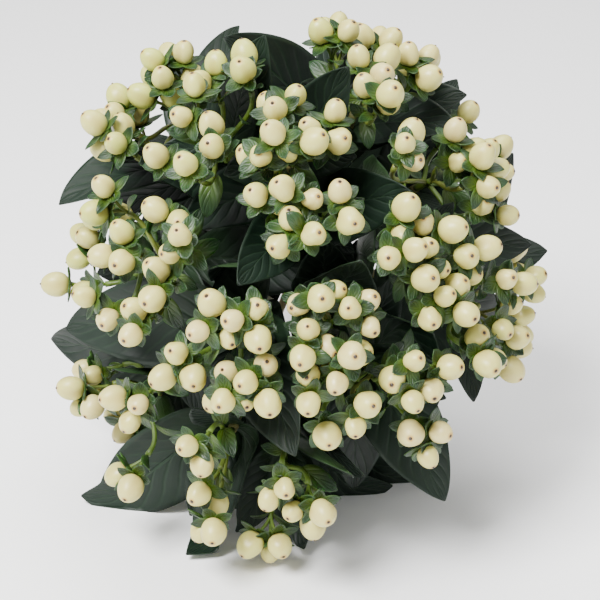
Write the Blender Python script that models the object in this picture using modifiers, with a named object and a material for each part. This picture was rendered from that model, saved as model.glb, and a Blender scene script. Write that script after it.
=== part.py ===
"""A tied bunch of cut hypericum, lying on its side.

The dome of ivory berries faces -Y and leans a little upward. Behind it the woody stems come together in
a rubber band and run on along +Y, down to the surface. Each stem is two solids: the woody stem with its
pairs of large leaves, and the forked green spray of berries that ends it. The clusters of berries are
placed where they show from the front, and everything between them and the tie follows from that.

Every spray keeps to its own cone of space, whose tip lies just behind the tie, so no two sprays cross.
"""

from dataclasses import dataclass, field
from math import cos, pi, radians, sin, sqrt
from random import Random

import bmesh
import bpy
import numpy as np
from mathutils import Matrix, Vector

# Driving dimensions, in metres and radians
MM = 0.001
HEAD_HALF_WIDTH = 0.095
HEAD_HALF_HEIGHT = 0.112
HEAD_DEPTH = 0.085
HEAD_CENTRE_HEIGHT = 0.091
HEAD_LEAN = radians(15)
SIGHT_ABOVE_AXIS = radians(12)
TIE_BEHIND_CENTRE = 0.110
STEM_BEHIND_TIE = 0.180
CONE_TIP_BEHIND_TIE = 0.019
FORK_BELOW_BERRIES = 0.046
GROWTH_POINT_BEHIND_CENTRE = 0.030

STEM_RADIUS = 0.0021
STEM_PITCH = 0.0046
STEM_SPLAY = 1.1
STEM_ROWS = (0, 2, 4, 6, 8, 12)
BAND_WIDTH = 0.006
BAND_THICKNESS = 0.0015
STEM_TWIST = radians(25)
NECK_RADIUS = 0.0015
BRANCH_RADIUS = 0.0010
STALK_RADIUS = 0.0007

BERRY_RADIUS = 0.0049
BERRY_RADIUS_SPREAD = 0.0007
BERRY_LENGTHENING = 1.12
BERRY_GAP = 0.0004
STALK_LENGTH = 0.015
SEPAL_REACH = 0.0093
SEPAL_VALLEY = 0.0036
SEPAL_REACH_SPREAD = 0.0013

LEAF_THICKNESS = 0.0007
LEAF_WIDTH_SHARE = 0.45
LEAF_LENGTHS = (0.056, 0.068)
LEAF_LEVELS = (0.004, 0.032, 0.060)
LEAF_CLEAR_OF_TIE = 0.030

LEAF_CLEARANCE = 0.0027
CROWD_CUBE = 0.001
LEAF_ROWS = (0, 3, 8, 14, 20)

# How many of the shown leaf tips, from the first on, are those of the largest leaves, which are placed first
KEY_LEAVES = 10

# Where leaf tips rest on the surface, so that the bunch can't roll: across from the middle and back, in mm
RESTING_LEAF_TIPS = ((-70, -8), (66, 6), (-62, 24), (62, 30))

# How a leaf may give way to its neighbours: degrees round the stem, degrees off it, and share of its length
LEAF_TRIALS = (
    (0, 0, 1), (14, 0, 1), (-14, 0, 1), (0, 12, 1), (0, -12, 1), (27, 0, 1), (-27, 0, 1), (0, 24, 0.92),
    (0, -24, 0.92),
)

# Two solids of one stem, and the blades that lie against the sides of two cones, keep this apart
SEAT_GAP = 0.0003
LEAF_MARGIN = 0.0006
SPRAY_MARGIN = 0.0017
FLOOR_MARGIN = 0.0004
LEAF_LAYER = 0.0042

# The clusters of each spray as they show from the front: right and up from the middle, in mm, and berries
FRONT_CLUSTERS = {
    "top": ((14, 107, 3), (31, 107, 3), (29, 91, 3), (47, 92, 3), (28, 71, 3)),
    "upper_left_outer": ((-53, 98, 3), (-59, 87, 3), (-75, 77, 3), (-75, 65, 4)),
    "upper_left": ((-36, 91, 2), (-23, 93, 2), (-42, 74, 2), (-34, 64, 2), (-57, 57, 1), (-41, 49, 1)),
    "upper_middle": ((-11, 75, 3), (10, 66, 3), (-15, 57, 3), (-4, 52, 3)),
    "centre": ((-12, 40, 2), (0, 39, 2), (-3, 25, 3), (16, 34, 2)),
    "upper_right": ((38, 60, 3), (66, 62, 3), (72, 49, 3), (80, 39, 3)),
    "right": (
        (41, 36, 2), (53, 31, 2), (36, 17, 2), (52, 16, 2), (47, 8, 1), (52, -5, 2), (70, 21, 2), (73, 9, 1),
        (63, -1, 2),
    ),
    "lower_right_outer": ((82, 8, 2), (84, -7, 2), (70, -23, 3), (88, -21, 3), (95, 6, 2)),
    "lower_middle": ((7, 3, 3), (25, -2, 3), (6, -18, 3), (18, -27, 3), (12, -39, 3)),
    "left": (
        (-49, 37, 2), (-43, 23, 2), (-80, 41, 2), (-72, 20, 3), (-57, 5, 2), (-77, -3, 2), (-59, -10, 2),
        (-96, -4, 2),
    ),
    "lower_left": ((-31, -8, 3), (-18, -10, 3), (-47, -27, 3), (-27, -35, 4), (-9, -30, 3)),
    "lower_left_outer": ((-90, -41, 3), (-66, -41, 3), (-68, -71, 2)),
    "bottom_left": ((-39, -56, 2), (-38, -82, 2), (-30, -90, 2)),
    "bottom": ((-13, -75, 2), (3, -83, 3), (-14, -103, 3)),
    "lower_right": ((36, -27, 3), (53, -29, 2), (21, -41, 2), (47, -53, 3), (11, -52, 1)),
}

# Sprays on the rim of the dome go on round it, past what shows from the front
RIM_SPRAYS = ("top", "upper_left_outer", "upper_right", "left", "lower_right_outer", "lower_left_outer")

# Where the tips of the large leaves show round the berries, right and up from the middle, in mm
SHOWN_LEAF_TIPS = (
    (-25, 110), (72, 83), (-98, -83), (57, -79), (-98, 39), (97, -16), (-16, -117), (-52, -98), (-14, 97),
    (-98, -35), (92, 22), (88, 60), (-94, -12), (-86, 66), (19, -66), (6, -101), (57, 68), (74, -19), (-30, 104),
    (18, 88), (14, -76), (34, -96), (-2, -53), (-75, -9), (-50, -55), (-49, 14), (-18, 6), (42, 45), (22, 14),
    (84, -52), (-78, -66),
)

ACROSS = np.array((1.0, 0.0, 0.0))
AXIS = np.array((0.0, -cos(HEAD_LEAN), sin(HEAD_LEAN)))
UPWARD = np.array((0.0, sin(HEAD_LEAN), cos(HEAD_LEAN)))
SIGHT = np.array((0.0, -cos(HEAD_LEAN + SIGHT_ABOVE_AXIS), sin(HEAD_LEAN + SIGHT_ABOVE_AXIS)))
SIGHT_UP = np.array((0.0, sin(HEAD_LEAN + SIGHT_ABOVE_AXIS), cos(HEAD_LEAN + SIGHT_ABOVE_AXIS)))
CENTRE = np.array((0.0, 0.0, HEAD_CENTRE_HEIGHT))
TIE = CENTRE - AXIS * TIE_BEHIND_CENTRE
CONE_TIP = TIE - AXIS * CONE_TIP_BEHIND_TIE
GROWTH_POINT = CENTRE - AXIS * GROWTH_POINT_BEHIND_CENTRE
DOWN = np.array((0.0, 0.0, -1.0))


@dataclass
class Berry:
    """One berry: where it sits, the way its tip points, and the stalk that carries it."""

    centre: np.ndarray
    radius: float
    axis: np.ndarray
    side: np.ndarray
    stalk: np.ndarray
    sepal_tips: np.ndarray = None


@dataclass
class Cluster:
    """A few berries that share one fork at the end of a branch."""

    tip: np.ndarray
    growth: np.ndarray
    count: int
    fork: np.ndarray = None
    branch: np.ndarray = None
    berries: list = field(default_factory=list)


@dataclass
class Stem:
    """One cut stem, its leaves as grids of points, and the clusters of its spray."""

    name: str
    clusters: list
    direction: np.ndarray
    fork: np.ndarray
    walls: np.ndarray = None
    route: np.ndarray = None
    leaves: list = field(default_factory=list)


def unit(vector):
    """The vector at length one."""
    return vector / np.linalg.norm(vector)


def curve_points(start, start_pull, end_pull, end, count):
    """Points of a cubic curve, both ends included."""
    t = np.linspace(0.0, 1.0, count)[:, None]
    u = 1.0 - t
    return u**3 * start + 3 * u**2 * t * start_pull + 3 * u * t**2 * end_pull + t**3 * end


def keep_inside(points, walls, margin, lowest=LEAF_LAYER):
    """Points moved off the sides of a cone and off the surface, as far as they reach into the margin."""
    points = np.array(points, dtype=float)
    for _ in range(12):
        short = margin - (points - CONE_TIP) @ walls.T
        worst = short.argmax(axis=1)
        depth = np.clip(short[np.arange(len(points)), worst], 0.0, None)
        points += walls[worst] * depth[:, None]
    points[:, 2] = np.maximum(points[:, 2], lowest)
    return points


# The dome and its clusters


def dome_point(right, up):
    """The spot of the dome that shows this far right and up of the middle, seen from the front."""
    start = ACROSS * right + SIGHT_UP * up
    half_sizes = np.array((HEAD_HALF_WIDTH, HEAD_HALF_HEIGHT, HEAD_DEPTH))
    frame = np.array((ACROSS, UPWARD, AXIS))
    place = frame @ start / half_sizes
    sight = frame @ SIGHT / half_sizes
    a, b, c = sight @ sight, 2 * place @ sight, place @ place - 1.0
    root = sqrt(max(b * b - 4 * a * c, 0.0))
    return CENTRE + start + SIGHT * (root - b) / (2 * a)


def plan_clusters(name, draw):
    """The clusters of one spray: those that show from the front, and for a rim spray two more behind."""
    clusters = []
    for right, up, count in FRONT_CLUSTERS[name]:
        tip = dome_point(right * MM, up * MM)
        growth = unit(tip - GROWTH_POINT)
        clusters.append(Cluster(tip + growth * draw.uniform(-4, 3) * MM, growth, count))
    if name in RIM_SPRAYS:
        middle = np.mean([cluster.tip for cluster in clusters], axis=0) - CENTRE
        outward = unit(middle - AXIS * (middle @ AXIS))
        around = np.cross(AXIS, outward)
        wide, high = outward @ ACROSS / HEAD_HALF_WIDTH, outward @ UPWARD / HEAD_HALF_HEIGHT
        reach = 1.0 / sqrt(wide**2 + high**2)
        for behind, sideways in ((12, -15), (24, 13)):
            tip = CENTRE + outward * reach * 0.96 - AXIS * behind * MM + around * sideways * MM
            clusters.append(Cluster(tip, unit(tip - GROWTH_POINT), 3))
    return clusters


def plan_stems(draw):
    """The stems, each headed for the middle of its clusters, with the planes that keep it off the others."""
    stems = []
    for name in FRONT_CLUSTERS:
        clusters = plan_clusters(name, draw)
        shown = [cluster.tip for cluster in clusters[: len(FRONT_CLUSTERS[name])]]
        middle = np.mean(shown, axis=0)
        direction = unit(middle - CONE_TIP)
        stems.append(Stem(name, clusters, direction, middle - direction * FORK_BELOW_BERRIES))
    for stem in stems:
        others = [other for other in stems if other is not stem]
        stem.walls = np.array([unit(stem.direction - other.direction) for other in others])
    return stems


def berry_places(cluster, draw):
    """Where a cluster's berries start out: side by side round the way that it grows."""
    side = unit(np.cross(cluster.growth, DOWN + ACROSS * 0.3))
    other = np.cross(cluster.growth, side)
    roll = draw.uniform(0, 2 * pi)
    ring = min(cluster.count, 3)
    spread = {1: 0.0, 2: 0.0062, 3: 0.0068}[ring]
    places = []
    for k in range(cluster.count):
        turn = roll + 2 * pi * k / ring + draw.uniform(-0.25, 0.25)
        offset = (side * cos(turn) + other * sin(turn)) * spread
        offset += cluster.growth * draw.uniform(-2.5, 2.5) * MM
        if k >= ring:
            offset = cluster.growth * 0.010
        places.append(cluster.tip + offset)
    return places


def settle(centres, radii, walls):
    """Berry centres eased apart until none touch, each inside its own cone and above the surface."""
    homes = centres.copy()
    count = len(radii)
    reach = radii[:, None] + radii[None, :] + BERRY_GAP
    np.fill_diagonal(reach, 0.0)
    for step in range(160):
        if step < 110:
            centres = centres + (homes - centres) * 0.05
        apart = centres[:, None] - centres[None, :]
        distance = np.sqrt((apart**2).sum(axis=-1)) + np.eye(count)
        push = np.clip(reach - distance, 0.0, None) * 0.5
        centres = centres + (apart / distance[..., None] * push[..., None]).sum(axis=1)
        short = radii[:, None] + SPRAY_MARGIN - np.einsum("nwk,nk->nw", walls, centres - CONE_TIP)
        centres = centres + np.einsum("nw,nwk->nk", np.clip(short, 0.0, None), walls)
        centres[:, 2] = np.maximum(centres[:, 2], radii + LEAF_LAYER / 2)
    return centres


def grow_berries(stems, draw):
    """Berries, their stalks and the branches that end in them."""
    starts, radii, walls = [], [], []
    for stem in stems:
        for cluster in stem.clusters:
            for place in berry_places(cluster, draw):
                starts.append(place)
                radii.append(BERRY_RADIUS + draw.uniform(-1, 1) * BERRY_RADIUS_SPREAD)
                walls.append(stem.walls)
    radii = np.array(radii)
    centres = settle(np.array(starts), radii * BERRY_LENGTHENING, np.array(walls))
    taken = 0
    for stem in stems:
        for cluster in stem.clusters:
            mine = range(taken, taken + cluster.count)
            taken += cluster.count
            middle = centres[list(mine)].mean(axis=0)
            fork = middle - cluster.growth * STALK_LENGTH
            cluster.fork = keep_inside([fork], stem.walls, SPRAY_MARGIN + 3 * BRANCH_RADIUS)[0]
            cluster.fork[2] = max(cluster.fork[2], LEAF_LAYER + BRANCH_RADIUS)
            for k in mine:
                axis = unit(centres[k] - cluster.fork - cluster.growth * 2 * MM)
                base = centres[k] - axis * radii[k]
                pull = cluster.fork + cluster.growth * 4 * MM
                stalk = curve_points(cluster.fork, pull, base - axis * 4 * MM, base, 5)
                side = unit(np.cross(axis, DOWN + ACROSS * draw.uniform(-2, 2)))
                cluster.berries.append(Berry(centres[k], radii[k], axis, side, stalk))
        grow_branches(stem)
        for cluster in stem.clusters:
            for berry in cluster.berries:
                grow_sepals(berry, stem, draw)


def grow_sepals(berry, stem, draw):
    """Five sepals of unlike lengths spread under the berry, clear of the berries beside it."""
    other = np.cross(berry.axis, berry.side)
    base = berry.centre - berry.axis * berry.radius * 0.92
    tips = []
    for k in range(5):
        turn = 2 * pi * k / 5
        reach = SEPAL_REACH + draw.uniform(-1, 1) * SEPAL_REACH_SPREAD
        tip = base + (berry.side * cos(turn) + other * sin(turn)) * reach
        tips.append(clear_of_berries(tip, stem, berry))
    berry.sepal_tips = keep_inside(tips, stem.walls, SPRAY_MARGIN)


def clear_of_berries(point, stem, own):
    """A point of a calyx or bract pushed out of the berries beside it."""
    for cluster in stem.clusters:
        for berry in cluster.berries:
            apart = point - berry.centre
            reach = berry.radius * BERRY_LENGTHENING + SEAT_GAP
            distance = np.linalg.norm(apart)
            if berry is not own and distance < reach:
                point = berry.centre + apart / distance * reach
    return point


def grow_branches(stem):
    """Branches leave the spray's own axis in pairs, the widest lowest."""
    widest_first = sorted(stem.clusters, key=lambda cluster: unit(cluster.fork - stem.fork) @ stem.direction)
    for k, cluster in enumerate(widest_first):
        start = stem.fork + stem.direction * (4 + 6 * (k // 2)) * MM
        length = np.linalg.norm(cluster.fork - start)
        route = curve_points(
            start,
            start + unit(cluster.fork - start + stem.direction * length * 0.4) * length * 0.35,
            cluster.fork - cluster.growth * length * 0.4,
            cluster.fork,
            9,
        )
        cluster.branch = keep_inside(route, stem.walls, SPRAY_MARGIN + 2 * BRANCH_RADIUS)
        cluster.branch[0] = start


def axis_length(stem):
    """How far a spray's own axis runs on past the fork, to its last pair of branches."""
    return (4 + 6 * ((len(stem.clusters) - 1) // 2)) * MM


# The stems and the tie


def pack_at_tie(stems):
    """Where the stems pass through the tie: packed round its middle, in the order that they fan out in."""
    spots = np.array([(s.direction @ ACROSS, s.direction @ UPWARD) / (s.direction @ AXIS) for s in stems])
    spots *= CONE_TIP_BEHIND_TIE
    for step in range(600):
        if step < 560:
            spots = spots * 0.99
        apart = spots[:, None] - spots[None, :]
        distance = np.sqrt((apart**2).sum(axis=-1)) + np.eye(len(spots))
        push = np.clip(STEM_PITCH - distance, 0.0, None) * 0.5
        np.fill_diagonal(push, 0.0)
        spots = spots + (apart / distance[..., None] * push[..., None]).sum(axis=1)
    return spots - spots.mean(axis=0)


def route_stems(stems, draw):
    """Each stem from its cut end, through the tie, to its fork, and the radius of the whole bundle."""
    spots = pack_at_tie(stems)
    behind = []
    for spot in spots:
        cut = STEM_BEHIND_TIE + draw.uniform(-8, 8) * MM
        points = []
        for share in np.linspace(1.0, 0.0, 5):
            turn = STEM_TWIST * share
            wide = 1.0 + STEM_SPLAY * share
            x = (spot[0] * cos(turn) - spot[1] * sin(turn)) * wide
            y = (spot[0] * sin(turn) + spot[1] * cos(turn)) * wide
            points.append(TIE - AXIS * cut * share + ACROSS * x + UPWARD * y)
        behind.append(np.array(points))
    lowest = min(points[0][2] for points in behind) - STEM_RADIUS * 1.02
    sag = np.linspace(1.0, 0.0, 5) ** 2
    for stem, points in zip(stems, behind):
        points[:, 2] -= sag * lowest
        length = np.linalg.norm(stem.fork - points[-1])
        ahead = curve_points(
            points[-1],
            points[-1] + unit(AXIS * 3.0 + unit(stem.fork - points[-1])) * length * 0.25,
            stem.fork - stem.direction * length * 0.35,
            stem.fork,
            9,
        )
        stem.route = np.vstack((points, ahead[1:]))
    in_band = []
    for stem in stems:
        solid = dense(stem.route[list(STEM_ROWS)], 0.0005) - TIE
        ahead = solid @ AXIS
        beside = np.linalg.norm(solid - ahead[:, None] * AXIS, axis=1)
        in_band.append(beside[np.abs(ahead) < BAND_WIDTH / 2 + STEM_RADIUS * 0.5].max())
    return max(in_band) + STEM_RADIUS


# The leaves


def leaf_surface(base, heading, face, length, walls=None, rows=20, columns=7, droop=5.0):
    """A leaf's middle surface as rows of points from its base to its tip.

    It arches away from face, hangs a little, runs along the sides of its cone where walls are given, and
    lies flat where it reaches the surface. Its sides stand up a little from its midrib.
    """
    step = length / rows
    width = length * LEAF_WIDTH_SHARE
    point, heading, up = base.copy(), unit(heading), unit(face)
    across = np.linspace(-1.0, 1.0, columns)[:, None]
    grid = []
    for row in range(rows + 1):
        up = unit(up - heading * (up @ heading))
        side = np.cross(up, heading)
        along = row / rows
        half = max(0.5 * width * sin(pi * along**0.82) ** 0.75 if row < rows else 0.0, 0.0004)
        half = max(half, 0.0013 * (1.0 - 6.0 * along))
        grid.append(point + side * across * half + up * 0.22 * half * across * across)
        heading = heading + (DOWN * droop - up * 3.5) * step
        near = 0.012
        if walls is not None:
            room = (point - CONE_TIP) @ walls.T - LEAF_MARGIN
            for wall, left in zip(walls, room):
                if left < near and heading @ wall < 0.0:
                    heading = heading - wall * (heading @ wall) * (1.0 - max(left, 0.0) / near)
        if point[2] < near and heading[2] < 0.0:
            heading[2] *= max(point[2] - FLOOR_MARGIN, 0.0) / near
        heading = unit(heading)
        point = point + heading * step
    grid = np.vstack(grid)
    if walls is not None:
        grid = keep_inside(grid, walls, LEAF_MARGIN, FLOOR_MARGIN)
    grid[:, 2] = np.maximum(grid[:, 2], FLOOR_MARGIN)
    return grid.reshape(rows + 1, columns, 3)


class Crowd:
    """The space that is taken round the head, in small cubes. Stems may touch the root of a leaf."""

    def __init__(self):
        self.low = CENTRE - np.array((0.14, 0.12, CENTRE[2] + 0.01))
        self.taken = np.zeros((280, 280, 250), dtype=bool)
        self.stems = np.zeros_like(self.taken)

    def cubes(self, points):
        return np.rint((np.reshape(points, (-1, 3)) - self.low) / CROWD_CUBE).astype(int)

    def add(self, points, radius, stems=False):
        """Takes the space within a radius of each point."""
        reach = int(radius / CROWD_CUBE) + 1
        ball = np.mgrid[-reach : reach + 1, -reach : reach + 1, -reach : reach + 1].reshape(3, -1).T
        ball = ball[(ball**2).sum(axis=1) * CROWD_CUBE**2 <= radius**2]
        cubes = (self.cubes(points)[:, None] + ball).reshape(-1, 3)
        cubes = cubes[((cubes >= 0) & (cubes < self.taken.shape)).all(axis=1)]
        (self.stems if stems else self.taken)[tuple(cubes.T)] = True

    def is_clear(self, points, of_stems=True):
        cubes = self.cubes(points)
        cubes = cubes[((cubes >= 0) & (cubes < self.taken.shape)).all(axis=1)]
        place = tuple(cubes.T)
        return not self.taken[place].any() and not (of_stems and self.stems[place].any())

    def count_taken(self, points):
        """How many of the points are in space that is taken."""
        cubes = self.cubes(points)
        place = tuple(cubes[((cubes >= 0) & (cubes < self.taken.shape)).all(axis=1)].T)
        return int((self.taken[place] | self.stems[place]).sum())


def dense(points, spacing=0.002):
    """A route with points added, so that none lie further apart than the spacing."""
    rows = [points[:1]]
    for start, end in zip(points[:-1], points[1:]):
        count = max(int(np.linalg.norm(end - start) / spacing), 1)
        rows.append(start + (end - start) * np.linspace(0, 1, count + 1)[1:, None])
    return np.vstack(rows)


def crowd_of(stems):
    """The space that stems, branches, berries and sepals take, with a margin round each."""
    crowd = Crowd()
    for stem in stems:
        crowd.add(dense(stem.route), STEM_RADIUS + 0.0022, stems=True)
        neck_end = stem.fork + stem.direction * axis_length(stem)
        crowd.add(dense(np.array((stem.fork, neck_end))), NECK_RADIUS + 0.0024)
        for number, cluster in enumerate(stem.clusters):
            crowd.add(dense(cluster.branch), BRANCH_RADIUS + 0.0022)
            for route in solid_stalks(cluster, number, stem.direction):
                crowd.add(dense(np.array(route)), BRANCH_RADIUS + 0.0022)
            for berry in cluster.berries:
                crowd.add(berry.centre, berry.radius * BERRY_LENGTHENING + 0.0012)
                crowd.add(dense(berry.stalk), STALK_RADIUS + 0.0016)
                for share, radius in ((0.35, 0.0031), (0.6, 0.0025), (0.85, 0.0018), (1.0, 0.0012)):
                    crowd.add(berry.stalk[-1] + (berry.sepal_tips - berry.stalk[-1]) * share, radius)
    return crowd


def stem_at(stem, below):
    """The point of a stem this far below its fork, and the way that the stem runs there."""
    route = stem.route[::-1]
    for upper, lower in zip(route[:-1], route[1:]):
        length = np.linalg.norm(upper - lower)
        if below <= length:
            return upper + (lower - upper) * below / length, unit(upper - lower)
        below -= length
    raise ValueError("the stem is shorter than that")


def turned_off(along, outward, spread):
    """A heading that stands off a stem by the spread, towards outward."""
    outward = unit(outward - along * (outward @ along))
    return along * cos(spread) + outward * sin(spread)


def facets(surface):
    """The same leaf as its solid has it, straight between a few rows."""
    rows = []
    for lower, upper in zip(LEAF_ROWS[:-1], LEAF_ROWS[1:]):
        share = np.arange(upper - lower)[:, None, None] / (upper - lower)
        rows.append(surface[lower] + (surface[upper] - surface[lower]) * share)
    return np.vstack(rows)


def closer(surface):
    """The surface with more points between those across it."""
    between = (surface[:, :-1] + surface[:, 1:]) / 2
    return np.concatenate((surface, between), axis=1)


def add_clear(stem, leaf, crowd):
    """Gives the stem this leaf if nothing is in its way."""
    surface = closer(leaf_surface(*leaf))
    faceted = facets(surface)
    both = (surface, faceted)
    clear = all(crowd.is_clear(points[3:]) and crowd.is_clear(points[1:3], False) for points in both)
    if clear:
        crowd.add(surface[1:], LEAF_CLEARANCE)
        crowd.add(faceted[1:], LEAF_CLEARANCE)
        stem.leaves.append(leaf)
    return clear


def aimed_leaf(stem, below, target, walls):
    """A leaf whose tip ends at the target."""
    base, along = stem_at(stem, below)
    length = np.linalg.norm(target - base) * 1.03
    aim = target
    for _ in range(5):
        leaf = (base, unit(aim - base), along, length, walls)
        aim = aim + target - leaf_surface(*leaf)[-1, 3]
    return leaf


def place_aimed_leaf(stem, below, target, crowd):
    """A leaf whose tip ends at the target, if the way there is short enough and clear."""
    base, _ = stem_at(stem, below)
    if not 0.045 < np.linalg.norm(target - base) < 0.083:
        return False
    middle = base + (target - base) * np.linspace(0.3, 1.0, 12)[:, None]
    if crowd.count_taken(middle) > 3:
        return False
    leaf = aimed_leaf(stem, below, target, None)
    missed = np.linalg.norm(leaf_surface(*leaf)[-1, 3] - target)
    return missed < 0.008 and add_clear(stem, leaf, crowd)


def place_resting_leaf(stems, across, back, crowd):
    """The first clear leaf whose tip rests on the surface at or near a spot."""
    for outward, behind in ((0, 0), (-6, 0), (6, 0), (0, 8), (0, -8), (-12, 6), (10, 14)):
        x = (abs(across) + outward) * np.sign(across)
        target = np.array((x * MM, (back + behind) * MM, FLOOR_MARGIN))
        way = unit(target - CONE_TIP)
        for stem in sorted(stems, key=lambda stem: -(stem.direction @ way))[:3]:
            for below in (4, 14, 24, 34, 44):
                if place_aimed_leaf(stem, below * MM, target, crowd):
                    return True
    return False


def place_shown_leaf(stems, right, up, crowd):
    """The first clear leaf whose tip shows at or near the spot asked for, on one of the nearest stems."""
    way = unit(dome_point(right * MM, up * MM) - CONE_TIP)
    nearest = sorted(stems, key=lambda stem: -(stem.direction @ way))[:5]
    for back in (3, 12, 21):
        for side, rise in ((0, 0), (5, 0), (-5, 0), (0, 5), (0, -5)):
            target = dome_point((right + side) * MM, (up + rise) * MM) - SIGHT * back * MM
            target = target + SIGHT * max(0.0015 - target[2], 0.0) / SIGHT[2]
            for stem in nearest:
                for below in (4, 14, 24, 34):
                    if place_aimed_leaf(stem, below * MM, target, crowd):
                        return True
    for stem in nearest[:3]:
        towards = dome_point(right * MM, up * MM) - stem.fork
        for spread in (78, 60, 95):
            if place_leaf(stem, 0.004, towards, radians(spread), 0.064, crowd):
                return True
    return False


def place_leaf(stem, below, outward, spread, length, crowd):
    """The first clear leaf near the one asked for, or nothing."""
    for walls in (None, stem.walls):
        for lower in (0, 10, 20):
            base, along = stem_at(stem, below + lower * MM)
            for swing, lift, shrink in LEAF_TRIALS:
                turn = Matrix.Rotation(radians(swing), 3, Vector(along))
                way = turned_off(along, np.array(turn @ Vector(outward)), spread + radians(lift))
                if add_clear(stem, (base, way, along, length * shrink, walls), crowd):
                    return True
    return False


def grow_leaves(stems, draw):
    """The leaves that show from the front, then pairs down each stem wherever there is room."""
    crowd = crowd_of(stems)
    for right, up in SHOWN_LEAF_TIPS[:KEY_LEAVES]:
        place_shown_leaf(stems, right, up, crowd)
    for across, back in RESTING_LEAF_TIPS:
        place_resting_leaf(stems, across, back, crowd)
    for right, up in SHOWN_LEAF_TIPS[KEY_LEAVES:]:
        place_shown_leaf(stems, right, up, crowd)
    for level, below in enumerate(LEAF_LEVELS):
        for stem in stems:
            ahead_of_tie = np.linalg.norm(stem.fork - TIE) - below
            if ahead_of_tie < LEAF_CLEAR_OF_TIE + 0.024 or (level == 2 and stem.name not in RIM_SPRAYS):
                continue
            radial = stem.direction - AXIS * (stem.direction @ AXIS)
            side = unit(np.cross(stem.direction, radial))
            first = draw.uniform(-0.4, 0.4) + level * pi / 2
            for turn in (first, first + pi):
                outward = side * cos(turn) + np.cross(stem.direction, side) * sin(turn)
                length = draw.uniform(*LEAF_LENGTHS)
                spread = radians(draw.uniform(48, 66))
                place_leaf(stem, below, outward, spread, length, crowd)


# Solids


def material(name, colour, roughness):
    """A plain material of one colour."""
    made = bpy.data.materials.new(name)
    made.use_nodes = True
    shader = made.node_tree.nodes["Principled BSDF"]
    shader.inputs["Base Color"].default_value = (*colour, 1.0)
    shader.inputs["Roughness"].default_value = roughness
    made.diffuse_color = (*colour, 1.0)
    return made


def add_object(name, mesh):
    """A new object in the scene."""
    piece = bpy.data.objects.new(name, mesh)
    bpy.context.scene.collection.objects.link(piece)
    return piece


def flattened(piece):
    """The piece with its modifiers or its curve turned into one plain mesh."""
    shown = piece.evaluated_get(bpy.context.evaluated_depsgraph_get())
    mesh = bpy.data.meshes.new_from_object(shown)
    mesh.transform(piece.matrix_world)
    plain = add_object(piece.name + "_plain", mesh)
    bpy.data.objects.remove(piece)
    return plain


def tube(name, points, radius, end_radius, resolution):
    """A closed round tube along the points."""
    curve = bpy.data.curves.new(name, "CURVE")
    curve.dimensions = "3D"
    curve.bevel_depth = radius
    curve.bevel_resolution = resolution
    curve.use_fill_caps = True
    spline = curve.splines.new("POLY")
    spline.points.add(len(points) - 1)
    for k, place in enumerate(points):
        spline.points[k].co = (*place, 1.0)
        spline.points[k].radius = 1.0 + (end_radius / radius - 1.0) * k / (len(points) - 1)
    plain = flattened(add_object(name, curve))
    shape = bmesh.new()
    shape.from_mesh(plain.data)
    bmesh.ops.remove_doubles(shape, verts=shape.verts, dist=1e-6)
    bmesh.ops.recalc_face_normals(shape, faces=shape.faces)
    shape.to_mesh(plain.data)
    shape.free()
    return plain


def facing(axis, roll):
    """The turn that takes +Z to the axis, after a roll about it."""
    return (Vector(axis).to_track_quat("Z", "Y").to_matrix() @ Matrix.Rotation(roll, 3, "Z")).to_4x4()


def berry_solid(berry, stem, route):
    """A berry, the star of its five sepals and its stalk, all drawn out of one ball.

    Below the top come two rings round the berry, the ring of the star, a ring at each point of the route
    but the last, and the lowest point, which ends the stalk.
    """
    shape = bmesh.new()
    levels = len(route) + 3
    bmesh.ops.create_uvsphere(shape, u_segments=10, v_segments=levels, radius=1.0)
    radius = berry.radius
    rings = {0: (0.0, BERRY_LENGTHENING), 1: (0.88, 0.52), 2: (0.94, -0.42), 3: (SEPAL_VALLEY / radius, -1.02)}
    above = [berry.centre, *route]
    for vert in shape.verts:
        level = round(np.arccos(np.clip(vert.co.z, -1, 1)) * levels / pi)
        step = round(np.arctan2(vert.co.y, vert.co.x) / (pi / 5)) % 10
        if level == 3 and step % 2 == 0:
            vert.co = berry.sepal_tips[step // 2]
        elif level < 4:
            out, rise = rings[level]
            middle = berry.centre + berry.axis * rise * radius
            place = ring_point(berry, middle, berry.axis, step, out * radius)
            vert.co = keep_inside([place], stem.walls, SPRAY_MARGIN)[0] if level == 3 else place
        else:
            middle = route[level - 4]
            out = 0.0 if level == levels else BRANCH_RADIUS
            vert.co = ring_point(berry, middle, unit(above[level - 4] - middle), step // 2 * 2 + 0.5, out)
    bmesh.ops.remove_doubles(shape, verts=shape.verts, dist=1e-6)
    mesh = bpy.data.meshes.new("berry")
    shape.to_mesh(mesh)
    shape.free()
    return add_object("berry", mesh)


def ring_point(berry, middle, axis, step, out):
    """A point of a ten-sided ring about an axis, counted from the berry's side."""
    side = unit(berry.side - axis * (berry.side @ axis))
    turn = step * pi / 5
    return middle + (side * cos(turn) + np.cross(axis, side) * sin(turn)) * out


def leaf_solid(leaf):
    """A thin blade over a few rows of the leaf's middle surface."""
    surface = leaf_surface(*leaf)
    columns = (0, 3, 6)
    shape = bmesh.new()
    grid = [[shape.verts.new(surface[row][column]) for column in columns] for row in LEAF_ROWS]
    for lower, upper in zip(grid[:-1], grid[1:]):
        for k in range(len(columns) - 1):
            shape.faces.new((lower[k], lower[k + 1], upper[k + 1], upper[k]))
    bmesh.ops.triangulate(shape, faces=shape.faces)
    mesh = bpy.data.meshes.new("leaf")
    shape.to_mesh(mesh)
    shape.free()
    blade = add_object("leaf", mesh)
    solid = blade.modifiers.new("thickness", "SOLIDIFY")
    solid.thickness = LEAF_THICKNESS
    solid.offset = 0.0
    return flattened(blade)


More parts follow.
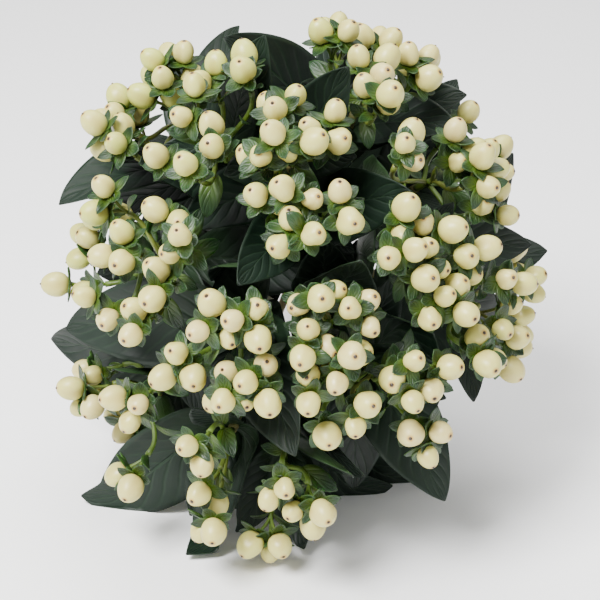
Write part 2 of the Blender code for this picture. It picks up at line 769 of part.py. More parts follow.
def drop_scraps(mesh):
    """Leaves only the largest body of a mesh."""
    shape = bmesh.new()
    shape.from_mesh(mesh)
    left = set(shape.verts)
    bodies = []
    while left:
        body = {left.pop()}
        edge = list(body)
        while edge:
            near = {other.other_vert(vert) for vert in edge for other in vert.link_edges} - body
            body |= near
            edge = list(near)
        left -= body
        bodies.append(body)
    bodies.sort(key=len)
    for body in bodies[:-1]:
        bmesh.ops.delete(shape, geom=list(body), context="VERTS")
    shape.to_mesh(mesh)
    shape.free()


def fuse(name, base, pieces, finish):
    """The base with every piece joined to it in one Boolean union."""
    group = bpy.data.collections.new(name + "_repeats")
    bpy.context.scene.collection.children.link(group)
    for piece in pieces:
        bpy.context.scene.collection.objects.unlink(piece)
        group.objects.link(piece)
    union = base.modifiers.new("union", "BOOLEAN")
    union.operation = "UNION"
    union.operand_type = "COLLECTION"
    union.collection = group
    union.solver = "MANIFOLD"
    fused = flattened(base)
    for piece in list(group.objects):
        bpy.data.objects.remove(piece)
    bpy.data.collections.remove(group)
    drop_scraps(fused.data)
    fused.name = name
    fused.data.name = name
    fused.data.materials.clear()
    fused.data.materials.append(finish)
    return fused


def leafy_stem(stem, finish):
    """A woody stem with the leaves that grew on it."""
    base = tube("stem", stem.route[list(STEM_ROWS)], STEM_RADIUS, STEM_RADIUS * 0.85, 1)
    return fuse("leafy_stem_" + stem.name, base, [leaf_solid(leaf) for leaf in stem.leaves], finish)


def solid_berries(cluster, number):
    """The berries of a cluster that are in the spray's solid: one, and two in its first cluster."""
    return cluster.berries[: 1 + (cluster.count > 1 and number == 0)]


def solid_stalks(cluster, number, direction):
    """For each of those berries, the points of its stalk: down to the spray's axis or the cluster's fork."""
    shown = solid_berries(cluster, number)
    unders = [berry.stalk[-1] - berry.axis * 1.5 * MM for berry in shown]
    root, fork = cluster.branch[0], cluster.branch[-1]
    end = root - direction * 3 * MM
    if len(shown) == 1:
        return [[unders[0], root, end]]
    return [[unders[0], fork, root, end], [unders[1], fork + unit(root - fork) * 6 * MM]]


def berry_spray(stem, finish):
    """A spray: its neck, and the berries that stand on it by their stalks."""
    start = stem.fork + stem.direction * SEAT_GAP
    end = stem.fork + stem.direction * (axis_length(stem) + NECK_RADIUS)
    neck = tube("neck", [start, end], NECK_RADIUS, NECK_RADIUS * 0.9, 1)
    pieces = []
    for number, cluster in enumerate(stem.clusters):
        routes = solid_stalks(cluster, number, stem.direction)
        for berry, route in zip(solid_berries(cluster, number), routes):
            pieces.append(berry_solid(berry, stem, route))
    return fuse("berry_spray_" + stem.name, neck, pieces, finish)


def tie_band(bundle_radius, finish):
    """A broad rubber band round all the stems: a turned ring."""
    inner = bundle_radius + SEAT_GAP
    outer = inner + BAND_THICKNESS
    edge = BAND_WIDTH / 2
    profile = ((inner, edge), (outer, edge), (outer, -edge), (inner, -edge))
    shape = bmesh.new()
    verts = [shape.verts.new((radius, 0.0, level)) for radius, level in profile]
    for k in range(len(verts)):
        shape.edges.new((verts[k], verts[(k + 1) % len(verts)]))
    mesh = bpy.data.meshes.new("tie_band")
    shape.to_mesh(mesh)
    shape.free()
    ring = add_object("ring", mesh)
    turn = ring.modifiers.new("turn", "SCREW")
    turn.steps = turn.render_steps = 32
    turn.use_merge_vertices = True
    turn.merge_threshold = 1e-5
    band = flattened(ring)
    band.name = "tie_band"
    band.data.transform(Matrix.Translation(Vector(TIE)) @ facing(AXIS, 0.0))
    band.data.materials.append(finish)
    return band


def build():
    """Models the bunch and stands its middle over the origin."""
    for old in list(bpy.data.objects):
        bpy.data.objects.remove(old)
    draw = Random(20)
    stems = plan_stems(draw)
    grow_berries(stems, draw)
    bundle_radius = route_stems(stems, draw)
    grow_leaves(stems, draw)

    green = material("leaf green", (0.035, 0.085, 0.045), 0.45)
    ivory = material("ivory berry", (0.80, 0.76, 0.58), 0.38)
    rubber = material("tan rubber", (0.55, 0.40, 0.24), 0.6)
    pieces = [leafy_stem(stem, green) for stem in stems]
    pieces += [berry_spray(stem, ivory) for stem in stems]
    pieces.append(tie_band(bundle_radius, rubber))

    bunch = bpy.data.collections.new("hypericum berry bunch")
    bpy.context.scene.collection.children.link(bunch)
    corners = np.vstack([[vert.co for vert in piece.data.vertices] for piece in pieces])
    low, high = corners.min(axis=0), corners.max(axis=0)
    shift = Matrix.Translation((-(low[0] + high[0]) / 2, -(low[1] + high[1]) / 2, -low[2]))
    for piece in pieces:
        piece.data.transform(shift)
        bpy.context.scene.collection.objects.unlink(piece)
        bunch.objects.link(piece)


build()
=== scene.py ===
"""A hand-tied bunch of cut hypericum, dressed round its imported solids.

The bunch lies on its stems with the dome of ivory berries towards -Y. BunchLayout draws the same numbers in
the same order as the solids were made from, so every fine spray and leafy stem keeps the form and place of
the solid that it replaces. The fine pieces add what the solids leave out: every berry with its scar and
furrows, sepals and bracts, veined leaves, bark, and a rubber band wound round the stems.
"""

from __future__ import annotations

import logging
from dataclasses import dataclass, field
from enum import Enum
from math import cos, pi, radians, sin, sqrt
from random import Random

import bpy
import numpy as np
from mathutils import Matrix, Vector
from numpy.linalg import norm

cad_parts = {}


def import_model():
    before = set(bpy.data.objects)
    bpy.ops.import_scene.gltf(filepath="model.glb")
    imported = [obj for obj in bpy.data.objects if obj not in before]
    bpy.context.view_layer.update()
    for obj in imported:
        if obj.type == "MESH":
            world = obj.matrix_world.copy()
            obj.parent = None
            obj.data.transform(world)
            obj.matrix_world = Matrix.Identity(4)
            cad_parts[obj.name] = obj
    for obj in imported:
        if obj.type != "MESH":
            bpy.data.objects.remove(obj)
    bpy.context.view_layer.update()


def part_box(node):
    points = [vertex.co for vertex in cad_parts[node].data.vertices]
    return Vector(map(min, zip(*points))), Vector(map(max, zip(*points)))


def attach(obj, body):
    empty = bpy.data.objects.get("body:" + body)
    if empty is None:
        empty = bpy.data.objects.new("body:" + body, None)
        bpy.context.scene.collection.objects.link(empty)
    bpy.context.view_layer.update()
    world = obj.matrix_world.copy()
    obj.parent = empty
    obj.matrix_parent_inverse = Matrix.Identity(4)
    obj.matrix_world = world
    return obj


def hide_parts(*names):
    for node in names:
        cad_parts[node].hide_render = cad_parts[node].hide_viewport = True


log = logging.getLogger("hypericum")

Array = np.ndarray
Pair = tuple[float, float]
Size = tuple[int, int]
Material = bpy.types.Material
Socket = bpy.types.NodeSocket

MM = 0.001
SEED = 20

# The clusters of each spray as they show from the front: right and up from the middle, in mm, and berries
FRONT_CLUSTERS = {
    "top": ((14, 107, 3), (31, 107, 3), (29, 91, 3), (47, 92, 3), (28, 71, 3)),
    "upper_left_outer": ((-53, 98, 3), (-59, 87, 3), (-75, 77, 3), (-75, 65, 4)),
    "upper_left": ((-36, 91, 2), (-23, 93, 2), (-42, 74, 2), (-34, 64, 2), (-57, 57, 1), (-41, 49, 1)),
    "upper_middle": ((-11, 75, 3), (10, 66, 3), (-15, 57, 3), (-4, 52, 3)),
    "centre": ((-12, 40, 2), (0, 39, 2), (-3, 25, 3), (16, 34, 2)),
    "upper_right": ((38, 60, 3), (66, 62, 3), (72, 49, 3), (80, 39, 3)),
    "right": (
        (41, 36, 2), (53, 31, 2), (36, 17, 2), (52, 16, 2), (47, 8, 1), (52, -5, 2), (70, 21, 2), (73, 9, 1),
        (63, -1, 2),
    ),
    "lower_right_outer": ((82, 8, 2), (84, -7, 2), (70, -23, 3), (88, -21, 3), (95, 6, 2)),
    "lower_middle": ((7, 3, 3), (25, -2, 3), (6, -18, 3), (18, -27, 3), (12, -39, 3)),
    "left": (
        (-49, 37, 2), (-43, 23, 2), (-80, 41, 2), (-72, 20, 3), (-57, 5, 2), (-77, -3, 2), (-59, -10, 2),
        (-96, -4, 2),
    ),
    "lower_left": ((-31, -8, 3), (-18, -10, 3), (-47, -27, 3), (-27, -35, 4), (-9, -30, 3)),
    "lower_left_outer": ((-90, -41, 3), (-66, -41, 3), (-68, -71, 2)),
    "bottom_left": ((-39, -56, 2), (-38, -82, 2), (-30, -90, 2)),
    "bottom": ((-13, -75, 2), (3, -83, 3), (-14, -103, 3)),
    "lower_right": ((36, -27, 3), (53, -29, 2), (21, -41, 2), (47, -53, 3), (11, -52, 1)),
}

# Sprays on the rim of the dome go on round it, past what shows from the front
RIM_SPRAYS = ("top", "upper_left_outer", "upper_right", "left", "lower_right_outer", "lower_left_outer")

# Their clusters there: how far behind the rim and to its side, in mm, how far out, and how many berries
RIM_CLUSTERS = ((12, -15), (24, 13))
RIM_SHARE = 0.96
RIM_BERRIES = 3

# Where the tips of the large leaves show round the berries, right and up from the middle, in mm
SHOWN_LEAF_TIPS = (
    (-25, 110), (72, 83), (-98, -83), (57, -79), (-98, 39), (97, -16), (-16, -117), (-52, -98), (-14, 97),
    (-98, -35), (92, 22), (88, 60), (-94, -12), (-86, 66), (19, -66), (6, -101), (57, 68), (74, -19),
    (-30, 104), (18, 88), (14, -76), (34, -96), (-2, -53), (-75, -9), (-50, -55), (-49, 14), (-18, 6),
    (42, 45), (22, 14), (84, -52), (-78, -66),
)

# How many of them are the largest, which are placed first
KEY_LEAVES = 10

# Where leaf tips rest on the surface, so that the bunch can't roll: across from the middle and back, in mm
RESTING_LEAF_TIPS = ((-70, -8), (66, 6), (-62, 24), (62, 30))

# The room that a sepal takes: its share of the way out, and the radius there in metres
SEPAL_ROOM = ((0.35, 0.0031), (0.6, 0.0025), (0.85, 0.0018), (1.0, 0.0012))

# How a leaf may give way to its neighbours: degrees round the stem, degrees off it, and share of its length
LEAF_TRIALS = (
    (0, 0, 1), (14, 0, 1), (-14, 0, 1), (0, 12, 1), (0, -12, 1), (27, 0, 1), (-27, 0, 1), (0, 24, 0.92),
    (0, -24, 0.92),
)


def unit(vector: Array) -> Array:
    """Returns the vector at length one."""
    return vector / norm(vector)


def curve_points(start: Array, start_pull: Array, end_pull: Array, end: Array, count: int) -> Array:
    """Points of a cubic curve, both ends included.

    Args:
        start: The first point.
        start_pull: The point that the curve leaves towards.
        end_pull: The point that the curve arrives from.
        end: The last point.
        count: How many points.

    Returns:
        The points, one a row.
    """
    t = np.linspace(0.0, 1.0, count)[:, None]
    u = 1.0 - t
    return u**3 * start + 3 * u**2 * t * start_pull + 3 * u * t**2 * end_pull + t**3 * end


def dense(points: Array, spacing: float = 0.002) -> Array:
    """A route with points added, so that none lie further apart than the spacing.

    Args:
        points: The route, one point a row.
        spacing: The largest step, in metres.

    Returns:
        The fuller route.
    """
    rows = [points[:1]]
    for start, end in zip(points[:-1], points[1:]):
        count = max(int(norm(end - start) / spacing), 1)
        rows.append(start + (end - start) * np.linspace(0, 1, count + 1)[1:, None])
    return np.vstack(rows)


def closer(surface: Array) -> Array:
    """A leaf's surface with more points between those across it."""
    return np.concatenate((surface, (surface[:, :-1] + surface[:, 1:]) / 2), axis=1)


def eased_apart(spots: Array, reach: Array | float) -> Array:
    """Spots moved half of the way apart, wherever two lie closer than their reach.

    Args:
        spots: The spots, one a row.
        reach: The distance that each two have to keep, or one for all.

    Returns:
        The moved spots.
    """
    apart = spots[:, None] - spots[None, :]
    distance = np.sqrt((apart**2).sum(axis=-1)) + np.eye(len(spots))
    push = np.clip(reach - distance, 0.0, None) * 0.5
    np.fill_diagonal(push, 0.0)
    return spots + (apart / distance[..., None] * push[..., None]).sum(axis=1)


def smooth_rows(rows: Array, count: int) -> Array:
    """Rows of points on a smooth spline through the given rows, evenly spread between them.

    Args:
        rows: The rows to pass through, along the first axis.
        count: How many rows to return.

    Returns:
        The rows of the spline.
    """
    last = len(rows) - 1
    padded = np.concatenate((2 * rows[:1] - rows[1:2], rows, 2 * rows[-1:] - rows[-2:-1]))
    places = np.linspace(0.0, last, count)
    cells = np.minimum(places.astype(int), last - 1)
    t = (places - cells).reshape((-1,) + (1,) * (rows.ndim - 1))
    before, start, end, after = (padded[cells + k] for k in range(4))
    return 0.5 * (
        2 * start
        + (end - before) * t
        + (2 * before - 5 * start + 4 * end - after) * t**2
        + (3 * start - before - 3 * end + after) * t**3
    )


@dataclass(frozen=True)
class HeadShape:
    """The dome of berries: its half sizes, its lean, and the tie and growth points behind it, in metres."""

    half_width: float = 0.095
    half_height: float = 0.112
    depth: float = 0.085
    centre_height: float = 0.091
    lean: float = radians(15)
    sight_above_axis: float = radians(12)
    tie_behind_centre: float = 0.110
    cone_tip_behind_tie: float = 0.019
    growth_point_behind_centre: float = 0.030

    def tilted(self, angle: float) -> tuple[Array, Array]:
        """The way out of the head and the way up it, when it leans back by an angle."""
        return np.array((0.0, -cos(angle), sin(angle))), np.array((0.0, sin(angle), cos(angle)))


HEAD = HeadShape()
ACROSS = np.array((1.0, 0.0, 0.0))
DOWN = np.array((0.0, 0.0, -1.0))
AXIS, UPWARD = HEAD.tilted(HEAD.lean)
SIGHT, SIGHT_UP = HEAD.tilted(HEAD.lean + HEAD.sight_above_axis)
CENTRE = np.array((0.0, 0.0, HEAD.centre_height))
TIE = CENTRE - AXIS * HEAD.tie_behind_centre
CONE_TIP = TIE - AXIS * HEAD.cone_tip_behind_tie
GROWTH_POINT = CENTRE - AXIS * HEAD.growth_point_behind_centre


def dome_point(right: float, up: float) -> Array:
    """The spot of the dome that shows this far right and up of the middle, seen from the front.

    Args:
        right: Metres to the right of the middle.
        up: Metres above the middle.

    Returns:
        The spot.
    """
    start = ACROSS * right + SIGHT_UP * up
    half_sizes = np.array((HEAD.half_width, HEAD.half_height, HEAD.depth))
    frame = np.array((ACROSS, UPWARD, AXIS))
    place = frame @ start / half_sizes
    sight = frame @ SIGHT / half_sizes
    a, b, c = sight @ sight, 2 * place @ sight, place @ place - 1.0
    root = sqrt(max(b * b - 4 * a * c, 0.0))
    return CENTRE + start + SIGHT * (root - b) / (2 * a)


@dataclass
class Berry:
    """One berry: where it sits, the way its tip points, its stalk and the tips of its sepals."""

    centre: Array
    radius: float
    axis: Array
    side: Array
    stalk: Array
    sepal_tips: Array | None = None


@dataclass
class Cluster:
    """A few berries that share one fork at the end of a branch."""

    tip: Array
    growth: Array
    count: int
    fork: Array | None = None
    branch: Array | None = None
    berries: list[Berry] = field(default_factory=list)


@dataclass
class Leaf:
    """How a leaf starts: its base, its way, the way its upper side faces, its length and its cone's walls."""

    base: Array
    heading: Array
    face: Array
    length: float
    walls: Array | None


@dataclass
class Stem:
    """One cut stem, its leaves, and the clusters of its spray."""

    name: str
    clusters: list[Cluster]
    direction: Array
    fork: Array
    walls: Array | None = None
    route: Array | None = None
    leaves: list[Leaf] = field(default_factory=list)

    def at(self, below: float) -> tuple[Array, Array]:
        """The point this far below the fork, and the way that the stem runs there.

        Args:
            below: Metres down the stem.

        Returns:
            The point and the unit direction towards the fork.
        """
        route = self.route[::-1]
        for upper, lower in zip(route[:-1], route[1:]):
            length = norm(upper - lower)
            if below <= length:
                return upper + (lower - upper) * below / length, unit(upper - lower)
            below -= length
        raise ValueError("the stem is shorter than that")

    def axis_length(self) -> float:
        """How far the spray's own axis runs on past the fork, to its last pair of branches."""
        return (4 + 6 * ((len(self.clusters) - 1) // 2)) * MM


class Crowd:
    """The space that is taken round the head, in small cubes. Stems may touch the root of a leaf."""

    CUBE = 0.001
    COUNTS = (280, 280, 250)

    def __init__(self) -> None:
        """Starts with nothing taken."""
        self.low = CENTRE - np.array((0.14, 0.12, CENTRE[2] + 0.01))
        self.taken = np.zeros(self.COUNTS, dtype=bool)
        self.stems = np.zeros_like(self.taken)

    def cubes(self, points: Array, ball: Array | int = 0) -> tuple[Array, ...]:
        """The cubes at or round each point, those outside the grid left out.

        Args:
            points: The points.
            ball: The cubes that count round a point, as steps from its own.

        Returns:
            The cubes' numbers along each axis.
        """
        near = np.rint((np.reshape(points, (-1, 3)) - self.low) / self.CUBE).astype(int)
        cubes = (near[:, None] + ball).reshape(-1, 3)
        return tuple(cubes[((cubes >= 0) & (cubes < self.COUNTS)).all(axis=1)].T)

    def add(self, points: Array, radius: float, stems: bool = False) -> None:
        """Takes the space within a radius of each point.

        Args:
            points: The points.
            radius: How far round each one.
            stems: Whether they belong to a woody stem.
        """
        reach = int(radius / self.CUBE) + 1
        ball = np.mgrid[-reach : reach + 1, -reach : reach + 1, -reach : reach + 1].reshape(3, -1).T
        ball = ball[(ball**2).sum(axis=1) * self.CUBE**2 <= radius**2]
        (self.stems if stems else self.taken)[self.cubes(points, ball)] = True

    def is_clear(self, points: Array, of_stems: bool = True) -> bool:
        """Whether no point is in space that is taken."""
        place = self.cubes(points)
        return not self.taken[place].any() and not (of_stems and self.stems[place].any())

    def count_taken(self, points: Array) -> int:
        """How many of the points are in space that is taken."""
        place = self.cubes(points)
        return int((self.taken[place] | self.stems[place]).sum())


@dataclass
class BunchLayout:
    """Where every stem, berry, branch and leaf lies, in metres and radians, and the space that they take.

    Every random number is drawn from the seeded source, in a fixed order.
    """

    draw: Random
    stem_behind_tie: float = 0.180
    fork_below_berries: float = 0.046
    stem_radius: float = 0.0021
    stem_pitch: float = 0.0046
    stem_splay: float = 1.1
    stem_twist: float = radians(25)
    stem_rows: tuple[int, ...] = (0, 2, 4, 6, 8, 12)
    band_width: float = 0.006
    neck_radius: float = 0.0015
    branch_radius: float = 0.0010
    stalk_radius: float = 0.0007
    berry_radius: float = 0.0049
    berry_radius_spread: float = 0.0007
    berry_lengthening: float = 1.12
    berry_gap: float = 0.0004
    stalk_length: float = 0.015
    sepal_reach: float = 0.0093
    sepal_reach_spread: float = 0.0013
    leaf_width_share: float = 0.45
    leaf_lengths: Pair = (0.056, 0.068)
    aimed_lengths: Pair = (0.045, 0.083)
    aimed_miss: float = 0.008
    aimed_slack: float = 1.03
    aimed_crossings: int = 3
    leaf_levels: tuple[float, ...] = (0.004, 0.032, 0.060)
    leaf_clear_of_tie: float = 0.030
    leaf_room_ahead: float = 0.024
    leaf_clearance: float = 0.0027
    leaf_rows: tuple[int, ...] = (0, 3, 8, 14, 20)
    seat_gap: float = 0.0003
    leaf_margin: float = 0.0006
    spray_margin: float = 0.0017
    floor_margin: float = 0.0004
    leaf_layer: float = 0.0042
    settling_steps: int = 160
    homing_steps: int = 110
    homing_share: float = 0.05
    packing_steps: int = 600
    drawing_steps: int = 560
    drawing_share: float = 0.99
    leaf_droop: float = 5.0
    leaf_arch: float = 3.5
    leaf_trough: float = 0.22
    leaf_near_wall: float = 0.012
    leaf_tip_half_width: float = 0.0004
    leaf_foot_half_width: float = 0.0013
    stems: list[Stem] = field(default_factory=list)
    bundle_radius: float = 0.0
    crowd: Crowd | None = None

    def lay_out(self) -> None:
        """Plans the whole bunch."""
        self.plan_stems()
        self.grow_berries()
        self.route_stems()
        self.crowd = self.crowd_of_stems()
        self.grow_leaves()

    def keep_inside(self, points: Array, walls: Array, margin: float, lowest: float) -> Array:
        """Points moved off the sides of a cone and off the surface, as far as they reach into the margin.

        Args:
            points: The points.
            walls: The inward normals of the cone's sides.
            margin: The distance to keep from each side.
            lowest: The least height.

        Returns:
            The moved points.
        """
        points = np.array(points, dtype=float)
        for _ in range(12):
            short = margin - (points - CONE_TIP) @ walls.T
            worst = short.argmax(axis=1)
            depth = np.clip(short[np.arange(len(points)), worst], 0.0, None)
            points += walls[worst] * depth[:, None]
        points[:, 2] = np.maximum(points[:, 2], lowest)
        return points

    def plan_clusters(self, name: str) -> list[Cluster]:
        """The clusters of one spray, those that show and those round the rim.

        Args:
            name: The spray's name.

        Returns:
            The clusters, without their berries.
        """
        clusters = []
        for right, up, count in FRONT_CLUSTERS[name]:
            tip = dome_point(right * MM, up * MM)
            growth = unit(tip - GROWTH_POINT)
            clusters.append(Cluster(tip + growth * self.draw.uniform(-4, 3) * MM, growth, count))
        if name in RIM_SPRAYS:
            middle = np.mean([cluster.tip for cluster in clusters], axis=0) - CENTRE
            outward = unit(middle - AXIS * (middle @ AXIS))
            around = np.cross(AXIS, outward)
            wide, high = outward @ ACROSS / HEAD.half_width, outward @ UPWARD / HEAD.half_height
            reach = 1.0 / sqrt(wide**2 + high**2)
            for behind, sideways in RIM_CLUSTERS:
                tip = CENTRE + outward * reach * RIM_SHARE - AXIS * behind * MM + around * sideways * MM
                clusters.append(Cluster(tip, unit(tip - GROWTH_POINT), RIM_BERRIES))
        return clusters

    def plan_stems(self) -> None:
        """Gives each spray its clusters, its direction from the tie and the walls of its cone."""
        for name in FRONT_CLUSTERS:
            clusters = self.plan_clusters(name)
            middle = np.mean([cluster.tip for cluster in clusters[: len(FRONT_CLUSTERS[name])]], axis=0)
            direction = unit(middle - CONE_TIP)
            self.stems.append(Stem(name, clusters, direction, middle - direction * self.fork_below_berries))
        for stem in self.stems:
            others = (other for other in self.stems if other is not stem)
            stem.walls = np.array([unit(stem.direction - other.direction) for other in others])

    def berry_places(self, cluster: Cluster) -> list[Array]:
        """Where a cluster's berries start out: side by side round the way that it grows.

        Args:
            cluster: The cluster.

        Returns:
            One place for each berry.
        """
        side = unit(np.cross(cluster.growth, DOWN + ACROSS * 0.3))
        other = np.cross(cluster.growth, side)
        roll = self.draw.uniform(0, 2 * pi)
        ring = min(cluster.count, 3)
        spread = {1: 0.0, 2: 0.0062, 3: 0.0068}[ring]
        places = []
        for k in range(cluster.count):
            turn = roll + 2 * pi * k / ring + self.draw.uniform(-0.25, 0.25)
            offset = (side * cos(turn) + other * sin(turn)) * spread
            offset = offset + cluster.growth * self.draw.uniform(-2.5, 2.5) * MM
            if k >= ring:
                offset = cluster.growth * 0.010
            places.append(cluster.tip + offset)
        return places

    def settle(self, centres: Array, radii: Array, walls: Array) -> Array:
        """Berry centres eased apart until none touch, each inside its own cone and above the surface.

        Args:
            centres: Where the berries start.
            radii: Their radii.
            walls: The walls of each berry's cone.

        Returns:
            The centres at rest.
        """
        homes = centres.copy()
        reach = radii[:, None] + radii[None, :] + self.berry_gap
        for step in range(self.settling_steps):
            if step < self.homing_steps:
                centres = centres + (homes - centres) * self.homing_share
            centres = eased_apart(centres, reach)
            short = radii[:, None] + self.spray_margin - np.einsum("nwk,nk->nw", walls, centres - CONE_TIP)
            centres = centres + np.einsum("nw,nwk->nk", np.clip(short, 0.0, None), walls)
            centres[:, 2] = np.maximum(centres[:, 2], radii + self.leaf_layer / 2)
        return centres

    def grow_berries(self) -> None:
        """Gives every cluster its berries with their stalks and sepals, and its branch."""
        starts, radii, walls = [], [], []
        for stem in self.stems:
            for cluster in stem.clusters:
                for place in self.berry_places(cluster):
                    starts.append(place)
                    radii.append(self.berry_radius + self.draw.uniform(-1, 1) * self.berry_radius_spread)
                    walls.append(stem.walls)
        radii = np.array(radii)
        centres = self.settle(np.array(starts), radii * self.berry_lengthening, np.array(walls))
        taken = 0
        for stem in self.stems:
            for cluster in stem.clusters:
                mine = range(taken, taken + cluster.count)
                taken += cluster.count
                self.hang_berries(cluster, stem, centres[list(mine)], radii[list(mine)])
            self.grow_branches(stem)
            for cluster in stem.clusters:
                for berry in cluster.berries:
                    self.grow_sepals(berry, stem)

    def hang_berries(self, cluster: Cluster, stem: Stem, centres: Array, radii: Array) -> None:
        """Sets a cluster's fork below its berries and joins each berry to it by a stalk.

        Args:
            cluster: The cluster.
            stem: Its stem.
            centres: The berries' centres.
            radii: The berries' radii.
        """
        fork = centres.mean(axis=0) - cluster.growth * self.stalk_length
        margin = self.spray_margin + 3 * self.branch_radius
        cluster.fork = self.keep_inside([fork], stem.walls, margin, self.leaf_layer)[0]
        cluster.fork[2] = max(cluster.fork[2], self.leaf_layer + self.branch_radius)
        for centre, radius in zip(centres, radii):
            axis = unit(centre - cluster.fork - cluster.growth * 2 * MM)
            base = centre - axis * radius
            pull = cluster.fork + cluster.growth * 4 * MM
            stalk = curve_points(cluster.fork, pull, base - axis * 4 * MM, base, 5)
            side = unit(np.cross(axis, DOWN + ACROSS * self.draw.uniform(-2, 2)))
            cluster.berries.append(Berry(centre, radius, axis, side, stalk))

    def grow_sepals(self, berry: Berry, stem: Stem) -> None:
        """Five sepals of unlike lengths spread under the berry, clear of the berries beside it.

        Args:
            berry: The berry.
            stem: Its stem.
        """
        other = np.cross(berry.axis, berry.side)
        base = berry.centre - berry.axis * berry.radius * 0.92
        tips = []
        for k in range(5):
            turn = 2 * pi * k / 5
            reach = self.sepal_reach + self.draw.uniform(-1, 1) * self.sepal_reach_spread
            tip = base + (berry.side * cos(turn) + other * sin(turn)) * reach
            tips.append(self.clear_of_berries(tip, stem, berry))
        berry.sepal_tips = self.keep_inside(tips, stem.walls, self.spray_margin, self.leaf_layer)

    def clear_of_berries(self, point: Array, stem: Stem, own: Berry) -> Array:
        """A point of a calyx pushed out of the berries beside it.

        Args:
            point: The point.
            stem: The stem whose berries count.
            own: The berry that the calyx carries.

        Returns:
            The point, moved where it has to be.
        """
        for cluster in stem.clusters:
            for berry in cluster.berries:
                apart = point - berry.centre
                reach = berry.radius * self.berry_lengthening + self.seat_gap
                distance = norm(apart)
                if berry is not own and distance < reach:
                    point = berry.centre + apart / distance * reach
        return point

    def grow_branches(self, stem: Stem) -> None:
        """Branches leave the spray's own axis in pairs, the widest lowest.

        Args:
            stem: The stem whose clusters get their branches.
        """
        def nearness(cluster: Cluster) -> float:
            """How near the stem's own way a cluster lies."""
            return unit(cluster.fork - stem.fork) @ stem.direction

        for k, cluster in enumerate(sorted(stem.clusters, key=nearness)):
            start = stem.fork + stem.direction * (4 + 6 * (k // 2)) * MM
            length = norm(cluster.fork - start)
            route = curve_points(
                start,
                start + unit(cluster.fork - start + stem.direction * length * 0.4) * length * 0.35,
                cluster.fork - cluster.growth * length * 0.4,
                cluster.fork,
                9,
            )
            margin = self.spray_margin + 2 * self.branch_radius
            cluster.branch = self.keep_inside(route, stem.walls, margin, self.leaf_layer)
            cluster.branch[0] = start

    def pack_at_tie(self) -> Array:
        """Where the stems pass through the tie: packed round its middle, in the order that they fan out in.

        Returns:
            Each stem's place across and up from the tie's middle.
        """
        ways = (stem.direction for stem in self.stems)
        spots = np.array([(way @ ACROSS, way @ UPWARD) / (way @ AXIS) for way in ways])
        spots *= HEAD.cone_tip_behind_tie
        for step in range(self.packing_steps):
            if step < self.drawing_steps:
                spots = spots * self.drawing_share
            spots = eased_apart(spots, self.stem_pitch)
        return spots - spots.mean(axis=0)

    def route_stems(self) -> None:
        """Leads each stem from its cut end, through the tie, to its fork, and measures the bundle there."""
        spots = self.pack_at_tie()
        behind = []
        for spot in spots:
            cut = self.stem_behind_tie + self.draw.uniform(-8, 8) * MM
            points = []
            for share in np.linspace(1.0, 0.0, 5):
                turn = self.stem_twist * share
                wide = 1.0 + self.stem_splay * share
                x = (spot[0] * cos(turn) - spot[1] * sin(turn)) * wide
                y = (spot[0] * sin(turn) + spot[1] * cos(turn)) * wide
                points.append(TIE - AXIS * cut * share + ACROSS * x + UPWARD * y)
            behind.append(np.array(points))
        lowest = min(points[0][2] for points in behind) - self.stem_radius * 1.02
        sag = np.linspace(1.0, 0.0, 5) ** 2
        for stem, points in zip(self.stems, behind):
            points[:, 2] -= sag * lowest
            length = norm(stem.fork - points[-1])
            ahead = curve_points(
                points[-1],
                points[-1] + unit(AXIS * 3.0 + unit(stem.fork - points[-1])) * length * 0.25,
                stem.fork - stem.direction * length * 0.35,
                stem.fork,
                9,
            )
            stem.route = np.vstack((points, ahead[1:]))
        in_band = []
        for stem in self.stems:
            solid = dense(stem.route[list(self.stem_rows)], 0.0005) - TIE
            ahead = solid @ AXIS
            beside = norm(solid - ahead[:, None] * AXIS, axis=1)
            in_band.append(beside[np.abs(ahead) < self.band_width / 2 + self.stem_radius * 0.5].max())
        self.bundle_radius = max(in_band) + self.stem_radius

    def leaf_surface(self, leaf: Leaf, rows: int = 20, columns: int = 7) -> Array:
        """A leaf's middle surface as rows of points from its base to its tip.

        It arches away from its face, hangs a little, runs along the sides of its cone where walls are given,
        and lies flat where it reaches the surface. Its sides stand up a little from its midrib.

        Args:
            leaf: The leaf.
            rows: How many steps along it.
            columns: How many points across it.

        Returns:
            The points, rows by columns by 3.
        """
        near = self.leaf_near_wall
        step = leaf.length / rows
        width = leaf.length * self.leaf_width_share
        point, heading, up = leaf.base.copy(), unit(leaf.heading), unit(leaf.face)
        across = np.linspace(-1.0, 1.0, columns)[:, None]
        grid = []
        for row in range(rows + 1):
            up = unit(up - heading * (up @ heading))
            side = np.cross(up, heading)
            along = row / rows
            half = 0.5 * width * sin(pi * along**0.82) ** 0.75 if row < rows else 0.0
            half = max(half, self.leaf_tip_half_width, self.leaf_foot_half_width * (1.0 - 6.0 * along))
            grid.append(point + side * across * half + up * self.leaf_trough * half * across * across)
            heading = heading + (DOWN * self.leaf_droop - up * self.leaf_arch) * step
            if leaf.walls is not None:
                room = (point - CONE_TIP) @ leaf.walls.T - self.leaf_margin
                for wall, left in zip(leaf.walls, room):
                    if left < near and heading @ wall < 0.0:
                        heading = heading - wall * (heading @ wall) * (1.0 - max(left, 0.0) / near)
            if point[2] < near and heading[2] < 0.0:
                heading[2] *= max(point[2] - self.floor_margin, 0.0) / near
            heading = unit(heading)
            point = point + heading * step
        grid = np.vstack(grid)
        if leaf.walls is not None:
            grid = self.keep_inside(grid, leaf.walls, self.leaf_margin, self.floor_margin)
        grid[:, 2] = np.maximum(grid[:, 2], self.floor_margin)
        return grid.reshape(rows + 1, columns, 3)

